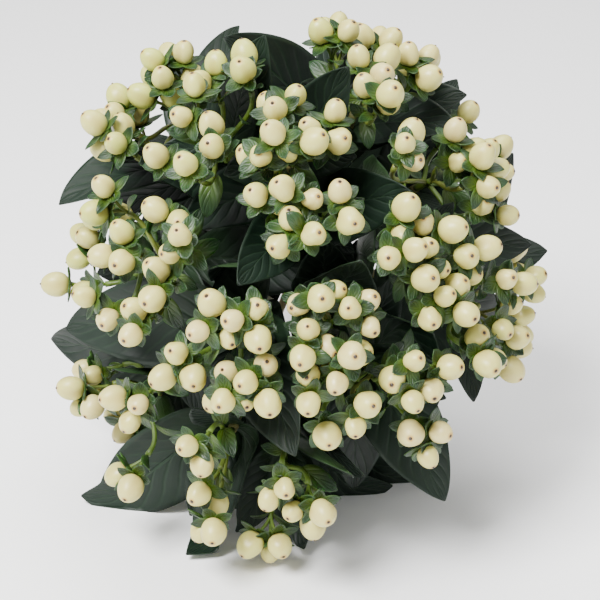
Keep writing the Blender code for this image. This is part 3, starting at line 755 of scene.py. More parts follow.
    def solid_stalks(self, cluster: Cluster, number: int, direction: Array) -> list[Array]:
        """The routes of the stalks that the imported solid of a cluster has.

        Args:
            cluster: The cluster.
            number: Its place in its spray.
            direction: The way of the spray's own axis.

        Returns:
            The points of each stalk.
        """
        shown = cluster.berries[: 1 + (cluster.count > 1 and number == 0)]
        unders = [berry.stalk[-1] - berry.axis * 1.5 * MM for berry in shown]
        root, fork = cluster.branch[0], cluster.branch[-1]
        end = root - direction * 3 * MM
        if len(shown) == 1:
            return [np.array((unders[0], root, end))]
        return [
            np.array((unders[0], fork, root, end)),
            np.array((unders[1], fork + unit(root - fork) * 6 * MM)),
        ]

    def crowd_of_stems(self, slack: float = 1.0) -> Crowd:
        """The space that the stems and sprays take before any leaf.

        Args:
            slack: How much room is left round them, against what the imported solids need.

        Returns:
            The crowd.
        """
        crowd = Crowd()
        for stem in self.stems:
            crowd.add(dense(stem.route), self.stem_radius + 0.0022 * slack, stems=True)
            axis_end = stem.fork + stem.direction * stem.axis_length()
            crowd.add(dense(np.array((stem.fork, axis_end))), self.neck_radius + 0.0024 * slack)
            for number, cluster in enumerate(stem.clusters):
                crowd.add(dense(cluster.branch), self.branch_radius + 0.0022 * slack)
                for route in self.solid_stalks(cluster, number, stem.direction):
                    crowd.add(dense(route), self.branch_radius + 0.0022 * slack)
                for berry in cluster.berries:
                    crowd.add(berry.centre, berry.radius * self.berry_lengthening + 0.0012 * slack)
                    crowd.add(dense(berry.stalk), self.stalk_radius + 0.0016 * slack)
                    base = berry.stalk[-1]
                    for share, radius in SEPAL_ROOM:
                        crowd.add(base + (berry.sepal_tips - base) * share, radius * slack)
        return crowd

    def fine_crowd(self) -> Crowd:
        """The space that the whole bunch takes, with only a little room round it.

        Returns:
            The crowd.
        """
        crowd = self.crowd_of_stems(0.35)
        for stem in self.stems:
            for leaf in stem.leaves:
                crowd.add(closer(self.leaf_surface(leaf)[1:]), 0.0012)
        return crowd

    def facets(self, surface: Array) -> Array:
        """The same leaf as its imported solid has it, straight between a few rows.

        Args:
            surface: The leaf's surface.

        Returns:
            The points of the plainer one.
        """
        rows = []
        for lower, upper in zip(self.leaf_rows[:-1], self.leaf_rows[1:]):
            share = np.arange(upper - lower)[:, None, None] / (upper - lower)
            rows.append(surface[lower] + (surface[upper] - surface[lower]) * share)
        return np.vstack(rows)

    def add_clear(self, stem: Stem, leaf: Leaf) -> bool:
        """Gives the stem this leaf if nothing is in its way.

        Args:
            stem: The stem.
            leaf: The leaf.

        Returns:
            Whether the leaf was added.
        """
        surface = closer(self.leaf_surface(leaf))
        faceted = self.facets(surface)
        crowd = self.crowd
        clear = all(
            crowd.is_clear(points[3:]) and crowd.is_clear(points[1:3], False) for points in (surface, faceted)
        )
        if clear:
            crowd.add(surface[1:], self.leaf_clearance)
            crowd.add(faceted[1:], self.leaf_clearance)
            stem.leaves.append(leaf)
        return clear

    def aimed_leaf(self, stem: Stem, below: float, target: Array) -> Leaf:
        """A leaf whose tip ends at the target.

        Args:
            stem: Its stem.
            below: How far below the fork.
            target: Where its tip ends.

        Returns:
            The leaf.
        """
        base, along = stem.at(below)
        length = norm(target - base) * self.aimed_slack
        aim = target
        for _ in range(5):
            leaf = Leaf(base, unit(aim - base), along, length, None)
            aim = aim + target - self.leaf_surface(leaf)[-1, 3]
        return leaf

    def place_aimed_leaf(self, stem: Stem, below: float, target: Array) -> bool:
        """Adds a leaf whose tip ends at the target, if the way there is short enough and clear.

        Args:
            stem: Its stem.
            below: How far below the fork.
            target: Where its tip ends.

        Returns:
            Whether the leaf was added.
        """
        base, _ = stem.at(below)
        shortest, longest = self.aimed_lengths
        if not shortest < norm(target - base) < longest:
            return False
        middle = base + (target - base) * np.linspace(0.3, 1.0, 12)[:, None]
        if self.crowd.count_taken(middle) > self.aimed_crossings:
            return False
        leaf = self.aimed_leaf(stem, below, target)
        missed = norm(self.leaf_surface(leaf)[-1, 3] - target)
        return missed < self.aimed_miss and self.add_clear(stem, leaf)

    def nearest_stems(self, way: Array) -> list[Stem]:
        """The stems, those that run most nearly this way first."""
        return sorted(self.stems, key=lambda stem: -(stem.direction @ way))

    def place_resting_leaf(self, across: float, back: float) -> bool:
        """Adds the first clear leaf whose tip rests on the surface at or near a spot.

        Args:
            across: The spot's place to the right of the middle, in mm.
            back: Its place behind the middle, in mm.

        Returns:
            Whether a leaf was added.
        """
        for outward, behind in ((0, 0), (-6, 0), (6, 0), (0, 8), (0, -8), (-12, 6), (10, 14)):
            x = (abs(across) + outward) * np.sign(across)
            target = np.array((x * MM, (back + behind) * MM, self.floor_margin))
            way = unit(target - CONE_TIP)
            for stem in self.nearest_stems(way)[:3]:
                for below in (4, 14, 24, 34, 44):
                    if self.place_aimed_leaf(stem, below * MM, target):
                        return True
        return False

    def place_shown_leaf(self, right: float, up: float) -> bool:
        """Adds the first clear leaf whose tip shows at or near a spot, on one of the nearest stems.

        Args:
            right: The spot's place to the right of the middle, in mm.
            up: Its place above the middle, in mm.

        Returns:
            Whether a leaf was added.
        """
        way = unit(dome_point(right * MM, up * MM) - CONE_TIP)
        nearest = self.nearest_stems(way)[:5]
        for back in (3, 12, 21):
            for side, rise in ((0, 0), (5, 0), (-5, 0), (0, 5), (0, -5)):
                target = dome_point((right + side) * MM, (up + rise) * MM) - SIGHT * back * MM
                target = target + SIGHT * max(0.0015 - target[2], 0.0) / SIGHT[2]
                for stem in nearest:
                    for below in (4, 14, 24, 34):
                        if self.place_aimed_leaf(stem, below * MM, target):
                            return True
        for stem in nearest[:3]:
            towards = dome_point(right * MM, up * MM) - stem.fork
            for spread in (78, 60, 95):
                if self.place_leaf(stem, 0.004, towards, radians(spread), 0.064):
                    return True
        return False

    def place_leaf(self, stem: Stem, below: float, outward: Array, spread: float, length: float) -> bool:
        """Adds the first clear leaf near the one asked for.

        Args:
            stem: Its stem.
            below: How far below the fork.
            outward: The way that it leans out to.
            spread: How far it stands off the stem.
            length: Its length.

        Returns:
            Whether a leaf was added.
        """
        for walls in (None, stem.walls):
            for lower in (0, 10, 20):
                base, along = stem.at(below + lower * MM)
                for swing, lift, shrink in LEAF_TRIALS:
                    turn = Matrix.Rotation(radians(swing), 3, Vector(along))
                    way = np.array(turn @ Vector(outward))
                    way = unit(way - along * (way @ along))
                    angle = spread + radians(lift)
                    heading = along * cos(angle) + way * sin(angle)
                    if self.add_clear(stem, Leaf(base, heading, along, length * shrink, walls)):
                        return True
        return False

    def grow_leaves(self) -> None:
        """The leaves that show from the front, then pairs down each stem wherever there is room."""
        for right, up in SHOWN_LEAF_TIPS[:KEY_LEAVES]:
            self.place_shown_leaf(right, up)
        for across, back in RESTING_LEAF_TIPS:
            self.place_resting_leaf(across, back)
        for right, up in SHOWN_LEAF_TIPS[KEY_LEAVES:]:
            self.place_shown_leaf(right, up)
        for level, below in enumerate(self.leaf_levels):
            for stem in self.stems:
                ahead_of_tie = norm(stem.fork - TIE) - below
                too_low = ahead_of_tie < self.leaf_clear_of_tie + self.leaf_room_ahead
                if too_low or (level == 2 and stem.name not in RIM_SPRAYS):
                    continue
                radial = stem.direction - AXIS * (stem.direction @ AXIS)
                side = unit(np.cross(stem.direction, radial))
                first = self.draw.uniform(-0.4, 0.4) + level * pi / 2
                for turn in (first, first + pi):
                    outward = side * cos(turn) + np.cross(stem.direction, side) * sin(turn)
                    length = self.draw.uniform(*self.leaf_lengths)
                    spread = radians(self.draw.uniform(48, 66))
                    self.place_leaf(stem, below, outward, spread, length)


# Meshes


class Finish(Enum):
    """The finishes of the bunch, by the name of their material."""

    BERRY = "ivory berry skin"
    SEPAL = "sepal green"
    STALK = "green stalk"
    LEAF = "hypericum leaf"
    BARK = "hypericum bark"
    CUT_WOOD = "cut wood"
    RUBBER = "tan rubber band"


# The furrow mark is how deep in a berry's furrow a point lies; the berry skin uses it to place painted shade
MARKS = ("along", "across", "underside", "tone", "tip_distance", "shaded_furrow")

# How a bract may give way to the berries: degrees off the branch, degrees round it, and share of its length
BRACT_TRIALS = ((55, 0, 1), (70, 18, 1), (42, -18, 1), (78, -30, 0.9), (60, 34, 0.8), (85, 0, 0.7))


def grid_faces(rows: int, columns: int, closed: bool = False) -> Array:
    """The four-cornered faces of a grid of points.

    Args:
        rows: Points along it.
        columns: Points across it.
        closed: Whether the last column joins the first.

    Returns:
        The faces, as rows of point numbers.
    """
    across = np.arange(columns if closed else columns - 1)
    after = (across + 1) % columns
    starts = np.arange(rows - 1)[:, None] * columns
    nexts = starts + columns
    return np.stack((starts + across, starts + after, nexts + after, nexts + across), -1).reshape(-1, 4)


def tube_faces(rows: int, sides: int) -> list[Array]:
    """The faces of a closed round form: rings of points, then its first and its last end.

    Args:
        rows: How many rings.
        sides: Points round each.

    Returns:
        The faces between the rings, and those of the ends.
    """
    ring = np.arange(sides)
    after = (ring + 1) % sides
    count = rows * sides
    end = count - sides
    first = np.stack((np.full(sides, count), after, ring), -1)
    last = np.stack((np.full(sides, count + 1), end + ring, end + after), -1)
    return [grid_faces(rows, sides, closed=True), np.vstack((first, last))]


def rim_faces(rows: int, columns: int) -> Array:
    """The faces that join the rims of two grids of points, the second after the first, all round.

    Args:
        rows: Points along each grid.
        columns: Points across it.

    Returns:
        The faces.
    """
    numbers = np.arange(rows * columns).reshape(rows, columns)
    loop = np.concatenate((numbers[0, :-1], numbers[:-1, -1], numbers[-1, :0:-1], numbers[:0:-1, 0]))
    after = np.roll(loop, -1)
    other = rows * columns
    return np.stack((loop, loop + other, after + other, after), -1)


def surface_normals(grid: Array) -> Array:
    """The unit normal at each point of a blade's grid, out of its underside.

    Args:
        grid: Rows by columns by 3.

    Returns:
        The normals, in the same layout.
    """
    along = np.gradient(grid, axis=0)
    across = np.gradient(grid, axis=1)
    normals = np.cross(across, along)
    return normals / np.maximum(norm(normals, axis=-1, keepdims=True), 1e-12)


class PieceBuilder:
    """Gathers the parts of one piece and makes one object of them."""

    def __init__(self, name: str, finishes: dict[Finish, Material]) -> None:
        """Starts an empty piece.

        Args:
            name: The piece's name.
            finishes: The material of each finish.
        """
        self.name = name
        self.finishes = finishes
        self.used: list[Finish] = []
        self.points: list[Array] = []
        self.marks: dict[str, list[Array]] = {mark: [] for mark in MARKS}
        self.corners: list[Array] = []
        self.sizes: list[Array] = []
        self.finish_of_face: list[Array] = []
        self.count = 0

    def add(self, points: Array, faces: list[Array], finish: Finish, **marks: Array | float) -> None:
        """Adds one closed part.

        Args:
            points: Its points.
            faces: Arrays of its faces, each with one number of corners.
            finish: Its finish.
            marks: What its material reads at each point, by name.
        """
        if finish not in self.used:
            self.used.append(finish)
        points = np.reshape(points, (-1, 3))
        for mark, gathered in self.marks.items():
            gathered.append(np.broadcast_to(np.ravel(marks.get(mark, 0.0)), (len(points),)))
        for group in faces:
            self.corners.append((group + self.count).ravel())
            self.sizes.append(np.full(len(group), group.shape[1]))
            self.finish_of_face.append(np.full(len(group), self.used.index(finish)))
        self.points.append(points)
        self.count += len(points)

    def build(self, shift: Array) -> bpy.types.Object:
        """Makes the object.

        Args:
            shift: How far the frame's origin lies from the layout's.

        Returns:
            The object, in the scene.
        """
        mesh = bpy.data.meshes.new(self.name)
        points = np.vstack(self.points) + shift
        corners = np.concatenate(self.corners)
        sizes = np.concatenate(self.sizes)
        mesh.vertices.add(len(points))
        mesh.vertices.foreach_set("co", points.astype(np.float32).ravel())
        mesh.loops.add(len(corners))
        mesh.loops.foreach_set("vertex_index", corners.astype(np.int32))
        mesh.polygons.add(len(sizes))
        mesh.polygons.foreach_set("loop_start", np.concatenate(([0], np.cumsum(sizes)[:-1])).astype(np.int32))
        mesh.polygons.foreach_set("material_index", np.concatenate(self.finish_of_face).astype(np.int32))
        mesh.update(calc_edges=True)
        mesh.shade_smooth()
        for mark, gathered in self.marks.items():
            layer = mesh.attributes.new(mark, "FLOAT", "POINT")
            layer.data.foreach_set("value", np.concatenate(gathered).astype(np.float32))
        for finish in self.used:
            mesh.materials.append(self.finishes[finish])
        piece = bpy.data.objects.new(self.name, mesh)
        bpy.context.scene.collection.objects.link(piece)
        return piece

    def add_tube(
        self, route: Array, radii: Array | float, sides: int, finish: Finish, tone: float = 0.0
    ) -> None:
        """Adds a round tube with closed ends.

        Args:
            route: The points of its middle line.
            radii: Its radius at each of them, or one for all.
            sides: How many sides it has.
            finish: Its finish.
            tone: Its own shade.
        """
        radii = np.broadcast_to(radii, (len(route),))
        ways = np.gradient(route, axis=0)
        ways = ways / norm(ways, axis=1, keepdims=True)
        side = unit(np.cross(ways[0], ACROSS + UPWARD * 0.37))
        rings = []
        turns = np.arange(sides) * 2 * pi / sides
        for place, way, radius in zip(route, ways, radii):
            side = unit(side - way * (side @ way))
            other = np.cross(way, side)
            rings.append(place + (np.outer(np.cos(turns), side) + np.outer(np.sin(turns), other)) * radius)
        rows = len(route)
        points = np.vstack((*rings, route[:1], route[-1:]))
        lengths = np.concatenate(([0.0], np.cumsum(norm(np.diff(route, axis=0), axis=1))))
        along = np.concatenate((np.repeat(lengths, sides), lengths[:1], lengths[-1:])) / 0.01
        across = np.concatenate((np.tile(np.abs(np.arange(sides) / sides * 2 - 1), rows), (0.0, 0.0)))
        self.add(points, tube_faces(rows, sides), finish, along=along, across=across, tone=tone)

    def add_blade(
        self, grid: Array, thickness: float, finish: Finish, tone: float, margin_share: float = 0.4
    ) -> None:
        """Adds a thin closed blade round a middle surface, thinner towards its margins, its underside first.

        Args:
            grid: The middle surface, rows by columns by 3.
            thickness: The thickness at the midrib.
            finish: Its finish.
            tone: Its own shade.
            margin_share: The share of the thickness that the margins have.
        """
        rows, columns = grid.shape[:2]
        across = np.linspace(-1.0, 1.0, columns)
        along = np.linspace(0.0, 1.0, rows)
        depth = thickness * 0.5 * (1.0 - (1.0 - margin_share) * across**2)
        offset = surface_normals(grid) * depth[None, :, None]
        points = np.concatenate(((grid + offset).reshape(-1, 3), (grid - offset).reshape(-1, 3)))
        faces = grid_faces(rows, columns)
        self.add(
            points,
            [faces, faces[:, ::-1] + rows * columns, rim_faces(rows, columns)],
            finish,
            along=np.tile(np.repeat(along, columns), 2),
            across=np.tile(across, rows * 2),
            underside=np.repeat((1.0, 0.0), rows * columns),
            tone=tone,
        )


def small_blade(
    base: Array, tip: Array, face: Array, half_width: float, bow: float, cup: float, size: Size
) -> Array:
    """The middle surface of a sepal or bract.

    Args:
        base: Where it starts.
        tip: Where it ends.
        face: The way that its upper side faces.
        half_width: Half its greatest width.
        bow: How far its middle bows away from its face.
        cup: How far its sides stand up, as a share of its half width.
        size: Rows and columns of points.

    Returns:
        The surface.
    """
    rows, columns = size
    along = np.linspace(0.0, 1.0, rows)[:, None, None]
    across = np.linspace(-1.0, 1.0, columns)[None, :, None]
    way = tip - base
    face = unit(face - way * (face @ way) / (way @ way))
    side = unit(np.cross(face, way))
    width = half_width * np.maximum(np.sin(pi * along**0.8) ** 0.62, 0.1 * (1.0 - along))
    width[-1] = half_width * 0.03
    middle = base + way * along - face * bow * np.sin(pi * along)
    return middle + side * across * width + face * cup * width * across**2


@dataclass(frozen=True)
class BerryForm:
    """A berry's form at radius one: an egg with three furrows, deeper at its base, and a nub at its tip."""

    furrow_depth: float
    egg: float
    segments: int = 26
    lengthening: float = 1.12
    nub_height: float = 0.07
    nub_radius: float = 0.075

    def shape(self) -> tuple[Array, list[Array], Array, Array]:
        """Works the form out once, for every berry.

        Returns:
            The points, the faces, each point's distance from the tip, and how deep in a furrow it lies, which
            also sets where shade is painted on the skin.
        """
        near_tip = (0.035, 0.075, 0.12, 0.17, 0.24, 0.34, 0.48, 0.66, 0.87)
        polar = np.array((*near_tip, 1.10, 1.33, 1.56, 1.79, 2.03, 2.28, 2.55, 2.85))
        turn = np.arange(self.segments) * 2 * pi / self.segments
        deeper = np.sin(polar) ** 0.6 * (0.35 + 0.65 * (0.5 - 0.5 * np.cos(polar)))
        # How deep in a furrow each point lies: it sinks the form there, and the skin is painted darker there
        # as shade
        shaded_furrow = (0.5 + 0.5 * np.cos(3 * turn))[None, :] ** 2.2 * deeper[:, None]
        out = (np.sin(polar) * (1.0 - self.egg * np.cos(polar)))[:, None] * (1.0 - self.furrow_depth * shaded_furrow)
        nub = self.nub_height * np.exp(-((np.sin(polar) / self.nub_radius) ** 2))
        dimple = 0.03 * np.exp(-(((np.sin(polar) - 0.16) / 0.08) ** 2))
        height = (self.lengthening * np.cos(polar) + nub - dimple)[:, None] * np.ones_like(out)
        rings = np.stack((out * np.cos(turn), out * np.sin(turn), height), -1).reshape(-1, 3)
        poles = np.array(((0.0, 0.0, self.lengthening + self.nub_height), (0.0, 0.0, -self.lengthening)))
        points = np.vstack((rings, poles))
        faces = [group[:, ::-1] for group in tube_faces(len(polar), self.segments)]
        from_tip = np.concatenate((np.repeat(polar, self.segments), (0.0, pi)))
        depth = np.concatenate((shaded_furrow.ravel(), (0.0, 0.0)))
        return points, faces, from_tip, depth


# The berries' forms: how deep the furrows are, and how much narrower the tip is than the base
BERRY_FORMS = (BerryForm(0.11, 0.08), BerryForm(0.17, 0.11), BerryForm(0.22, 0.10), BerryForm(0.06, 0.14))


@dataclass
class SprayPieces:
    """The fine sprays: berries, sepals, bracts, stalks and branches, one piece a spray."""

    layout: BunchLayout
    finishes: dict[Finish, Material]
    shift: Array
    draw: Random
    piece: PieceBuilder | None = None
    berry_squeezes: tuple = ((0.96, 1.0), (0.96, 1.0), (0.97, 1.0))
    sepal_half_width: float = 0.0031
    sepal_widths: Pair = (0.82, 1.12)
    sepal_curls: Pair = (-0.0006, 0.0014)
    sepal_bow: float = 0.0007
    sepal_cup: float = 0.22
    sepal_layer: float = 0.00008
    sepal_grid: Size = (8, 5)
    sepal_thickness: float = 0.0005
    sepal_gap: float = 0.00035
    bract_lengths: Pair = (0.008, 0.014)
    bract_half_width_share: float = 0.24
    bract_bow_share: float = -0.08
    bract_cup: float = 0.25
    bract_grid: Size = (11, 7)
    bract_thickness: float = 0.0004
    bract_clearance: float = 0.0008
    bract_height: float = 0.001
    long_branch: float = 0.02
    long_branch_bract: float = 1.35
    receptacle_radius: float = 0.0015

    def __post_init__(self) -> None:
        """Works out the berries' forms, and where every berry of the bunch is."""
        self.forms = [form.shape() for form in BERRY_FORMS]
        clusters = [cluster for stem in self.layout.stems for cluster in stem.clusters]
        self.berries = [berry for cluster in clusters for berry in cluster.berries]
        self.centres = np.array([berry.centre for berry in self.berries])

    def off_berries(self, grid: Array) -> Array:
        """A sepal's points pushed out of every berry near it.

        Args:
            grid: The points.

        Returns:
            The moved points.
        """
        middle = grid.reshape(-1, 3).mean(axis=0)
        near = np.flatnonzero(norm(self.centres - middle, axis=1) < 0.02)
        for number in near:
            berry = self.berries[number]
            apart = grid - berry.centre
            lengthwise = apart @ berry.axis
            flattened = apart - lengthwise[..., None] * berry.axis * (1 - 1 / self.layout.berry_lengthening)
            distance = np.maximum(norm(flattened, axis=-1, keepdims=True), 1e-6)
            short = berry.radius + self.sepal_gap - distance
            grid = grid + apart / distance * np.maximum(short, 0.0)
        return grid

    def build(self, stem: Stem) -> bpy.types.Object:
        """Makes the fine spray of one stem.

        Args:
            stem: The stem.

        Returns:
            The spray.
        """
        self.piece = PieceBuilder("spray_" + stem.name, self.finishes)
        self.add_branches(stem)
        for cluster in stem.clusters:
            for berry in cluster.berries:
                self.add_berry(berry, self.draw.choice(self.forms))
                self.add_sepals(berry)
            self.add_bracts(cluster)
        made = self.piece.build(self.shift)
        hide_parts("berry_spray_" + stem.name)
        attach(made, "root")
        return made

    def add_berry(self, berry: Berry, form: tuple) -> None:
        """Adds one berry.

        Args:
            berry: The berry.
            form: What BerryForm.shape returned.
        """
        points, faces, from_tip, shaded_furrow = form
        roll = self.draw.uniform(0, 2 * pi)
        other = np.cross(berry.axis, berry.side)
        side = berry.side * cos(roll) + other * sin(roll)
        turn = np.array((side, np.cross(berry.axis, side), berry.axis))
        squeeze = np.array([self.draw.uniform(*span) for span in self.berry_squeezes])
        place = berry.centre + (points * squeeze * berry.radius) @ turn
        right = berry.centre @ ACROSS / HEAD.half_width
        up = (berry.centre - CENTRE) @ UPWARD / HEAD.half_height
        greener = 0.45 * max(0.0, up - right - 0.55) + 0.25 * max(0.0, sqrt(right**2 + up**2) - 0.75)
        tone = min(max(0.35 + greener + self.draw.uniform(-0.32, 0.28), 0.0), 1.0)
        distance = from_tip * berry.radius / MM
        # The furrow depth goes with each point as a mark, for the painted shade in the furrows
        self.piece.add(place, faces, Finish.BERRY, tone=tone, tip_distance=distance, shaded_furrow=shaded_furrow)

    def add_sepals(self, berry: Berry) -> None:
        """Adds the five sepals under a berry.

        Args:
            berry: The berry.
        """
        under = berry.centre - berry.axis * berry.radius * 1.06
        for k, tip in enumerate(berry.sepal_tips):
            lift = berry.axis * (k * 2 % 5) * self.sepal_layer
            half_width = self.sepal_half_width * self.draw.uniform(*self.sepal_widths)
            curl = berry.axis * self.draw.uniform(*self.sepal_curls)
            base = under + lift + unit(tip - under) * 0.4 * MM
            bow, cup, size = self.sepal_bow, self.sepal_cup, self.sepal_grid
            grid = small_blade(base, tip + curl, berry.axis, half_width, bow, cup, size)
            grid = self.off_berries(grid)
            self.piece.add_blade(grid, self.sepal_thickness, Finish.SEPAL, self.draw.random())

    def add_bracts(self, cluster: Cluster) -> None:
        """Adds a pair of bracts at a cluster's fork, and a larger pair half way down a long branch.

        Args:
            cluster: The cluster.
        """
        pairs = [(cluster.fork, cluster.growth, 1.0)]
        length = norm(cluster.fork - cluster.branch[0])
        if length > self.long_branch:
            way = unit(cluster.branch[5] - cluster.branch[3])
            pairs.append((cluster.branch[4], way, self.long_branch_bract))
        for fork, growth, larger in pairs:
            side = unit(np.cross(growth, DOWN + ACROSS * self.draw.uniform(-1, 1)))
            other = np.cross(growth, side)
            first = self.draw.uniform(0, 2 * pi)
            for turn in (first, first + pi):
                self.add_bract(fork, growth, side * cos(turn) + other * sin(turn), larger)

    def add_bract(self, fork: Array, growth: Array, outward: Array, larger: float) -> None:
        """Adds one bract, turned or shortened until its outer part is clear of the berries.

        Args:
            fork: Where it grows.
            growth: The way of the branch there.
            outward: The way that it leans out to.
            larger: Its size against a bract at a cluster's fork.
        """
        length = self.draw.uniform(*self.bract_lengths) * larger
        tone = self.draw.random()
        for spread, swing, share in BRACT_TRIALS:
            swung = np.array(Matrix.Rotation(radians(swing), 3, Vector(growth)) @ Vector(outward))
            way = growth * cos(radians(spread)) + swung * sin(radians(spread))
            reach = length * share
            base, tip = fork + way * 0.6 * MM, fork + way * reach
            half_width, bow = reach * self.bract_half_width_share, reach * self.bract_bow_share
            face = growth - swung * 0.2
            grid = small_blade(base, tip, face, half_width, bow, self.bract_cup, self.bract_grid)
            if self.layout.crowd.is_clear(grid[5:]) and grid[..., 2].min() > self.bract_height:
                self.piece.add_blade(grid, self.bract_thickness, Finish.SEPAL, tone)
                self.layout.crowd.add(grid[5:], self.bract_clearance)
                return

    def add_branches(self, stem: Stem) -> None:
        """Adds the spray's own axis, its branches and the berries' stalks.

        Args:
            stem: The stem.
        """
        layout = self.layout
        neck = stem.fork + np.outer(np.linspace(0.02, 1.0, 7), stem.direction) * stem.axis_length()
        self.piece.add_tube(neck, layout.neck_radius * np.linspace(1.0, 0.85, 7), 10, Finish.STALK, 0.5)
        for cluster in stem.clusters:
            tone = self.draw.random()
            branch = smooth_rows(cluster.branch, 15)
            swell = np.ones(15)
            swell[0], swell[-2:] = 1.25, (1.15, 1.3)
            self.piece.add_tube(branch, layout.branch_radius * swell, 8, Finish.STALK, tone)
            for berry in cluster.berries:
                stalk = smooth_rows(berry.stalk, 9)
                radii = np.full(9, layout.stalk_radius)
                radii[-2:] = (layout.stalk_radius * 1.4, self.receptacle_radius)
                self.piece.add_tube(stalk, radii, 7, Finish.STALK, tone)


@dataclass
class LeafyStemPieces:
    """The fine leafy stems: bark, cut ends and veined leaves, one piece a stem."""

    layout: BunchLayout
    finishes: dict[Finish, Material]
    shift: Array
    draw: Random
    piece: PieceBuilder | None = None
    leaf_thickness: float = 0.0006
    wave_height: float = 0.0005
    quilt_depth: float = 0.00012
    wood_rows: int = 90
    wood_sides: int = 14
    cut_share: float = 0.9
    leaf_node: Pair = (0.12, 0.003)
    bare_node: Pair = (0.16, 0.0022)
    bare_node_places: tuple[float, float, float] = (0.02, 0.17, 0.033)
    leaf_grid: Size = (40, 15)
    filler_grid: Size = (20, 9)
    filler_lengths: Pair = (0.028, 0.062)
    filler_depths: Pair = (0.010, 0.050)
    filler_tries: int = 3200
    filler_clearance: float = 0.0012
    filler_clear_of_tie: float = 0.012
    filler_levels: Pair = (0.002, 0.045)
    filler_height: float = 0.004
    thin_spot_lengths: Pair = (0.028, 0.082)
    thin_spots: tuple = ((20, 22), (31, 15), (61, 43))
    thin_spot_reach: float = 11.0
    thin_spot_depths: Pair = (0.012, 0.080)
    thin_spot_tries: int = 1200

    def build(self, stem: Stem, fillers: list[Leaf]) -> bpy.types.Object:
        """Makes the fine leafy stem.

        Args:
            stem: The stem.
            fillers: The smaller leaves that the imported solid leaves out.

        Returns:
            The stem.
        """
        self.piece = PieceBuilder("stem_" + stem.name, self.finishes)
        self.add_wood(stem)
        for leaf in stem.leaves:
            self.add_leaf(leaf, self.leaf_grid)
        for leaf in fillers:
            self.add_leaf(leaf, self.filler_grid)
        made = self.piece.build(self.shift)
        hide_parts("leafy_stem_" + stem.name)
        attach(made, "root")
        return made

    def add_wood(self, stem: Stem) -> None:
        """Adds the woody stem with its nodes and its cut end.

        Args:
            stem: The stem.
        """
        route = smooth_rows(stem.route[list(self.layout.stem_rows)], self.wood_rows)
        radii = self.layout.stem_radius * np.linspace(1.0, 0.85, self.wood_rows)
        swell, reach = self.leaf_node
        for leaf in stem.leaves:
            near = norm(route - leaf.base, axis=1)
            radii = radii * (1.0 + swell * np.exp(-((near / reach) ** 2)))
        swell, reach = self.bare_node
        for place in np.arange(*self.bare_node_places) + self.draw.uniform(0, 0.012):
            near = norm(route - route[0], axis=1) - place
            radii = radii * (1.0 + swell * np.exp(-((near / reach) ** 2)))
        self.piece.add_tube(route, radii, self.wood_sides, Finish.BARK, self.draw.random())
        way = unit(route[1] - route[0])
        disc = np.array((route[0] - way * 0.15 * MM, route[0] + way * 0.3 * MM))
        radius = self.layout.stem_radius * self.cut_share
        self.piece.add_tube(disc, radius, self.wood_sides, Finish.CUT_WOOD, self.draw.random())

    def add_leaf(self, leaf: Leaf, size: Size) -> None:
        """Adds one leaf with gently waved margins.

        Args:
            leaf: The leaf.
            size: Rows and columns of points.
        """
        rows, columns = size
        coarse = self.layout.leaf_surface(leaf)
        grid = smooth_rows(coarse, rows)
        grid = smooth_rows(grid.transpose(1, 0, 2), columns).transpose(1, 0, 2)
        along = np.linspace(0.0, 1.0, rows)[:, None]
        across = np.linspace(-1.0, 1.0, columns)[None, :]
        phase = self.draw.uniform(0, 2 * pi)
        wave = self.wave_height * np.sin(along * 17 + phase + np.sign(across) * 0.9) * across**2
        between_veins = np.abs(np.sin((along * 8 - np.abs(across) * 1.6) * pi)) ** 3
        quilt = -self.quilt_depth * between_veins * (1 - across**2)
        grid = grid + surface_normals(grid) * ((wave + quilt) * np.sin(pi * along))[..., None]
        grid[..., 2] = np.maximum(grid[..., 2], self.layout.floor_margin)
        self.piece.add_blade(grid, self.leaf_thickness, Finish.LEAF, self.draw.random(), 0.5)

    def filler_target(self, thin: bool) -> Array:
        """A place for the tip of a small leaf, in the depth of the head.

        Args:
            thin: Whether it lies where the large leaves leave the head thin.

        Returns:
            The place.
        """
        if thin:
            right, up = self.draw.choice(self.thin_spots)
            reach = self.thin_spot_reach
            right, up = right + self.draw.uniform(-reach, reach), up + self.draw.uniform(-reach, reach)
            return dome_point(right * MM, up * MM) - SIGHT * self.draw.uniform(*self.thin_spot_depths)
        turn, out = self.draw.uniform(0, 2 * pi), sqrt(self.draw.random())
        spot = dome_point(cos(turn) * out * HEAD.half_width, sin(turn) * out * HEAD.half_height)
        return spot - SIGHT * self.draw.uniform(*self.filler_depths)

    def find_fillers(self) -> dict[str, list[Leaf]]:
        """Smaller leaves that fill the gaps between the sprays, their tips a little under the berries.

        Returns:
            The leaves of each stem, by its name.
        """
        layout = self.layout
        crowd = layout.fine_crowd()
        found: dict[str, list[Leaf]] = {stem.name: [] for stem in layout.stems}
        for number in range(self.filler_tries):
            thin = number < self.thin_spot_tries
            target = self.filler_target(thin)
            way = unit(target - CONE_TIP)
            nearest = layout.nearest_stems(way)
            stem = self.draw.choice(nearest[:4]) if thin else nearest[0]
            room = norm(stem.fork - TIE) - layout.leaf_clear_of_tie - self.filler_clear_of_tie
            highest, lowest = self.filler_levels
            base, along = stem.at(self.draw.uniform(highest, min(room, lowest)))
            reach = norm(target - base)
            shortest, longest = self.thin_spot_lengths if thin else self.filler_lengths
            if target[2] < self.filler_height or not shortest < reach < longest:
                continue
            leaf = Leaf(base, unit(target - base), along, reach, None)
            surface = closer(layout.leaf_surface(leaf))
            if crowd.is_clear(surface[5:]):
                crowd.add(surface[4:], self.filler_clearance)
                found[stem.name].append(leaf)
        return found


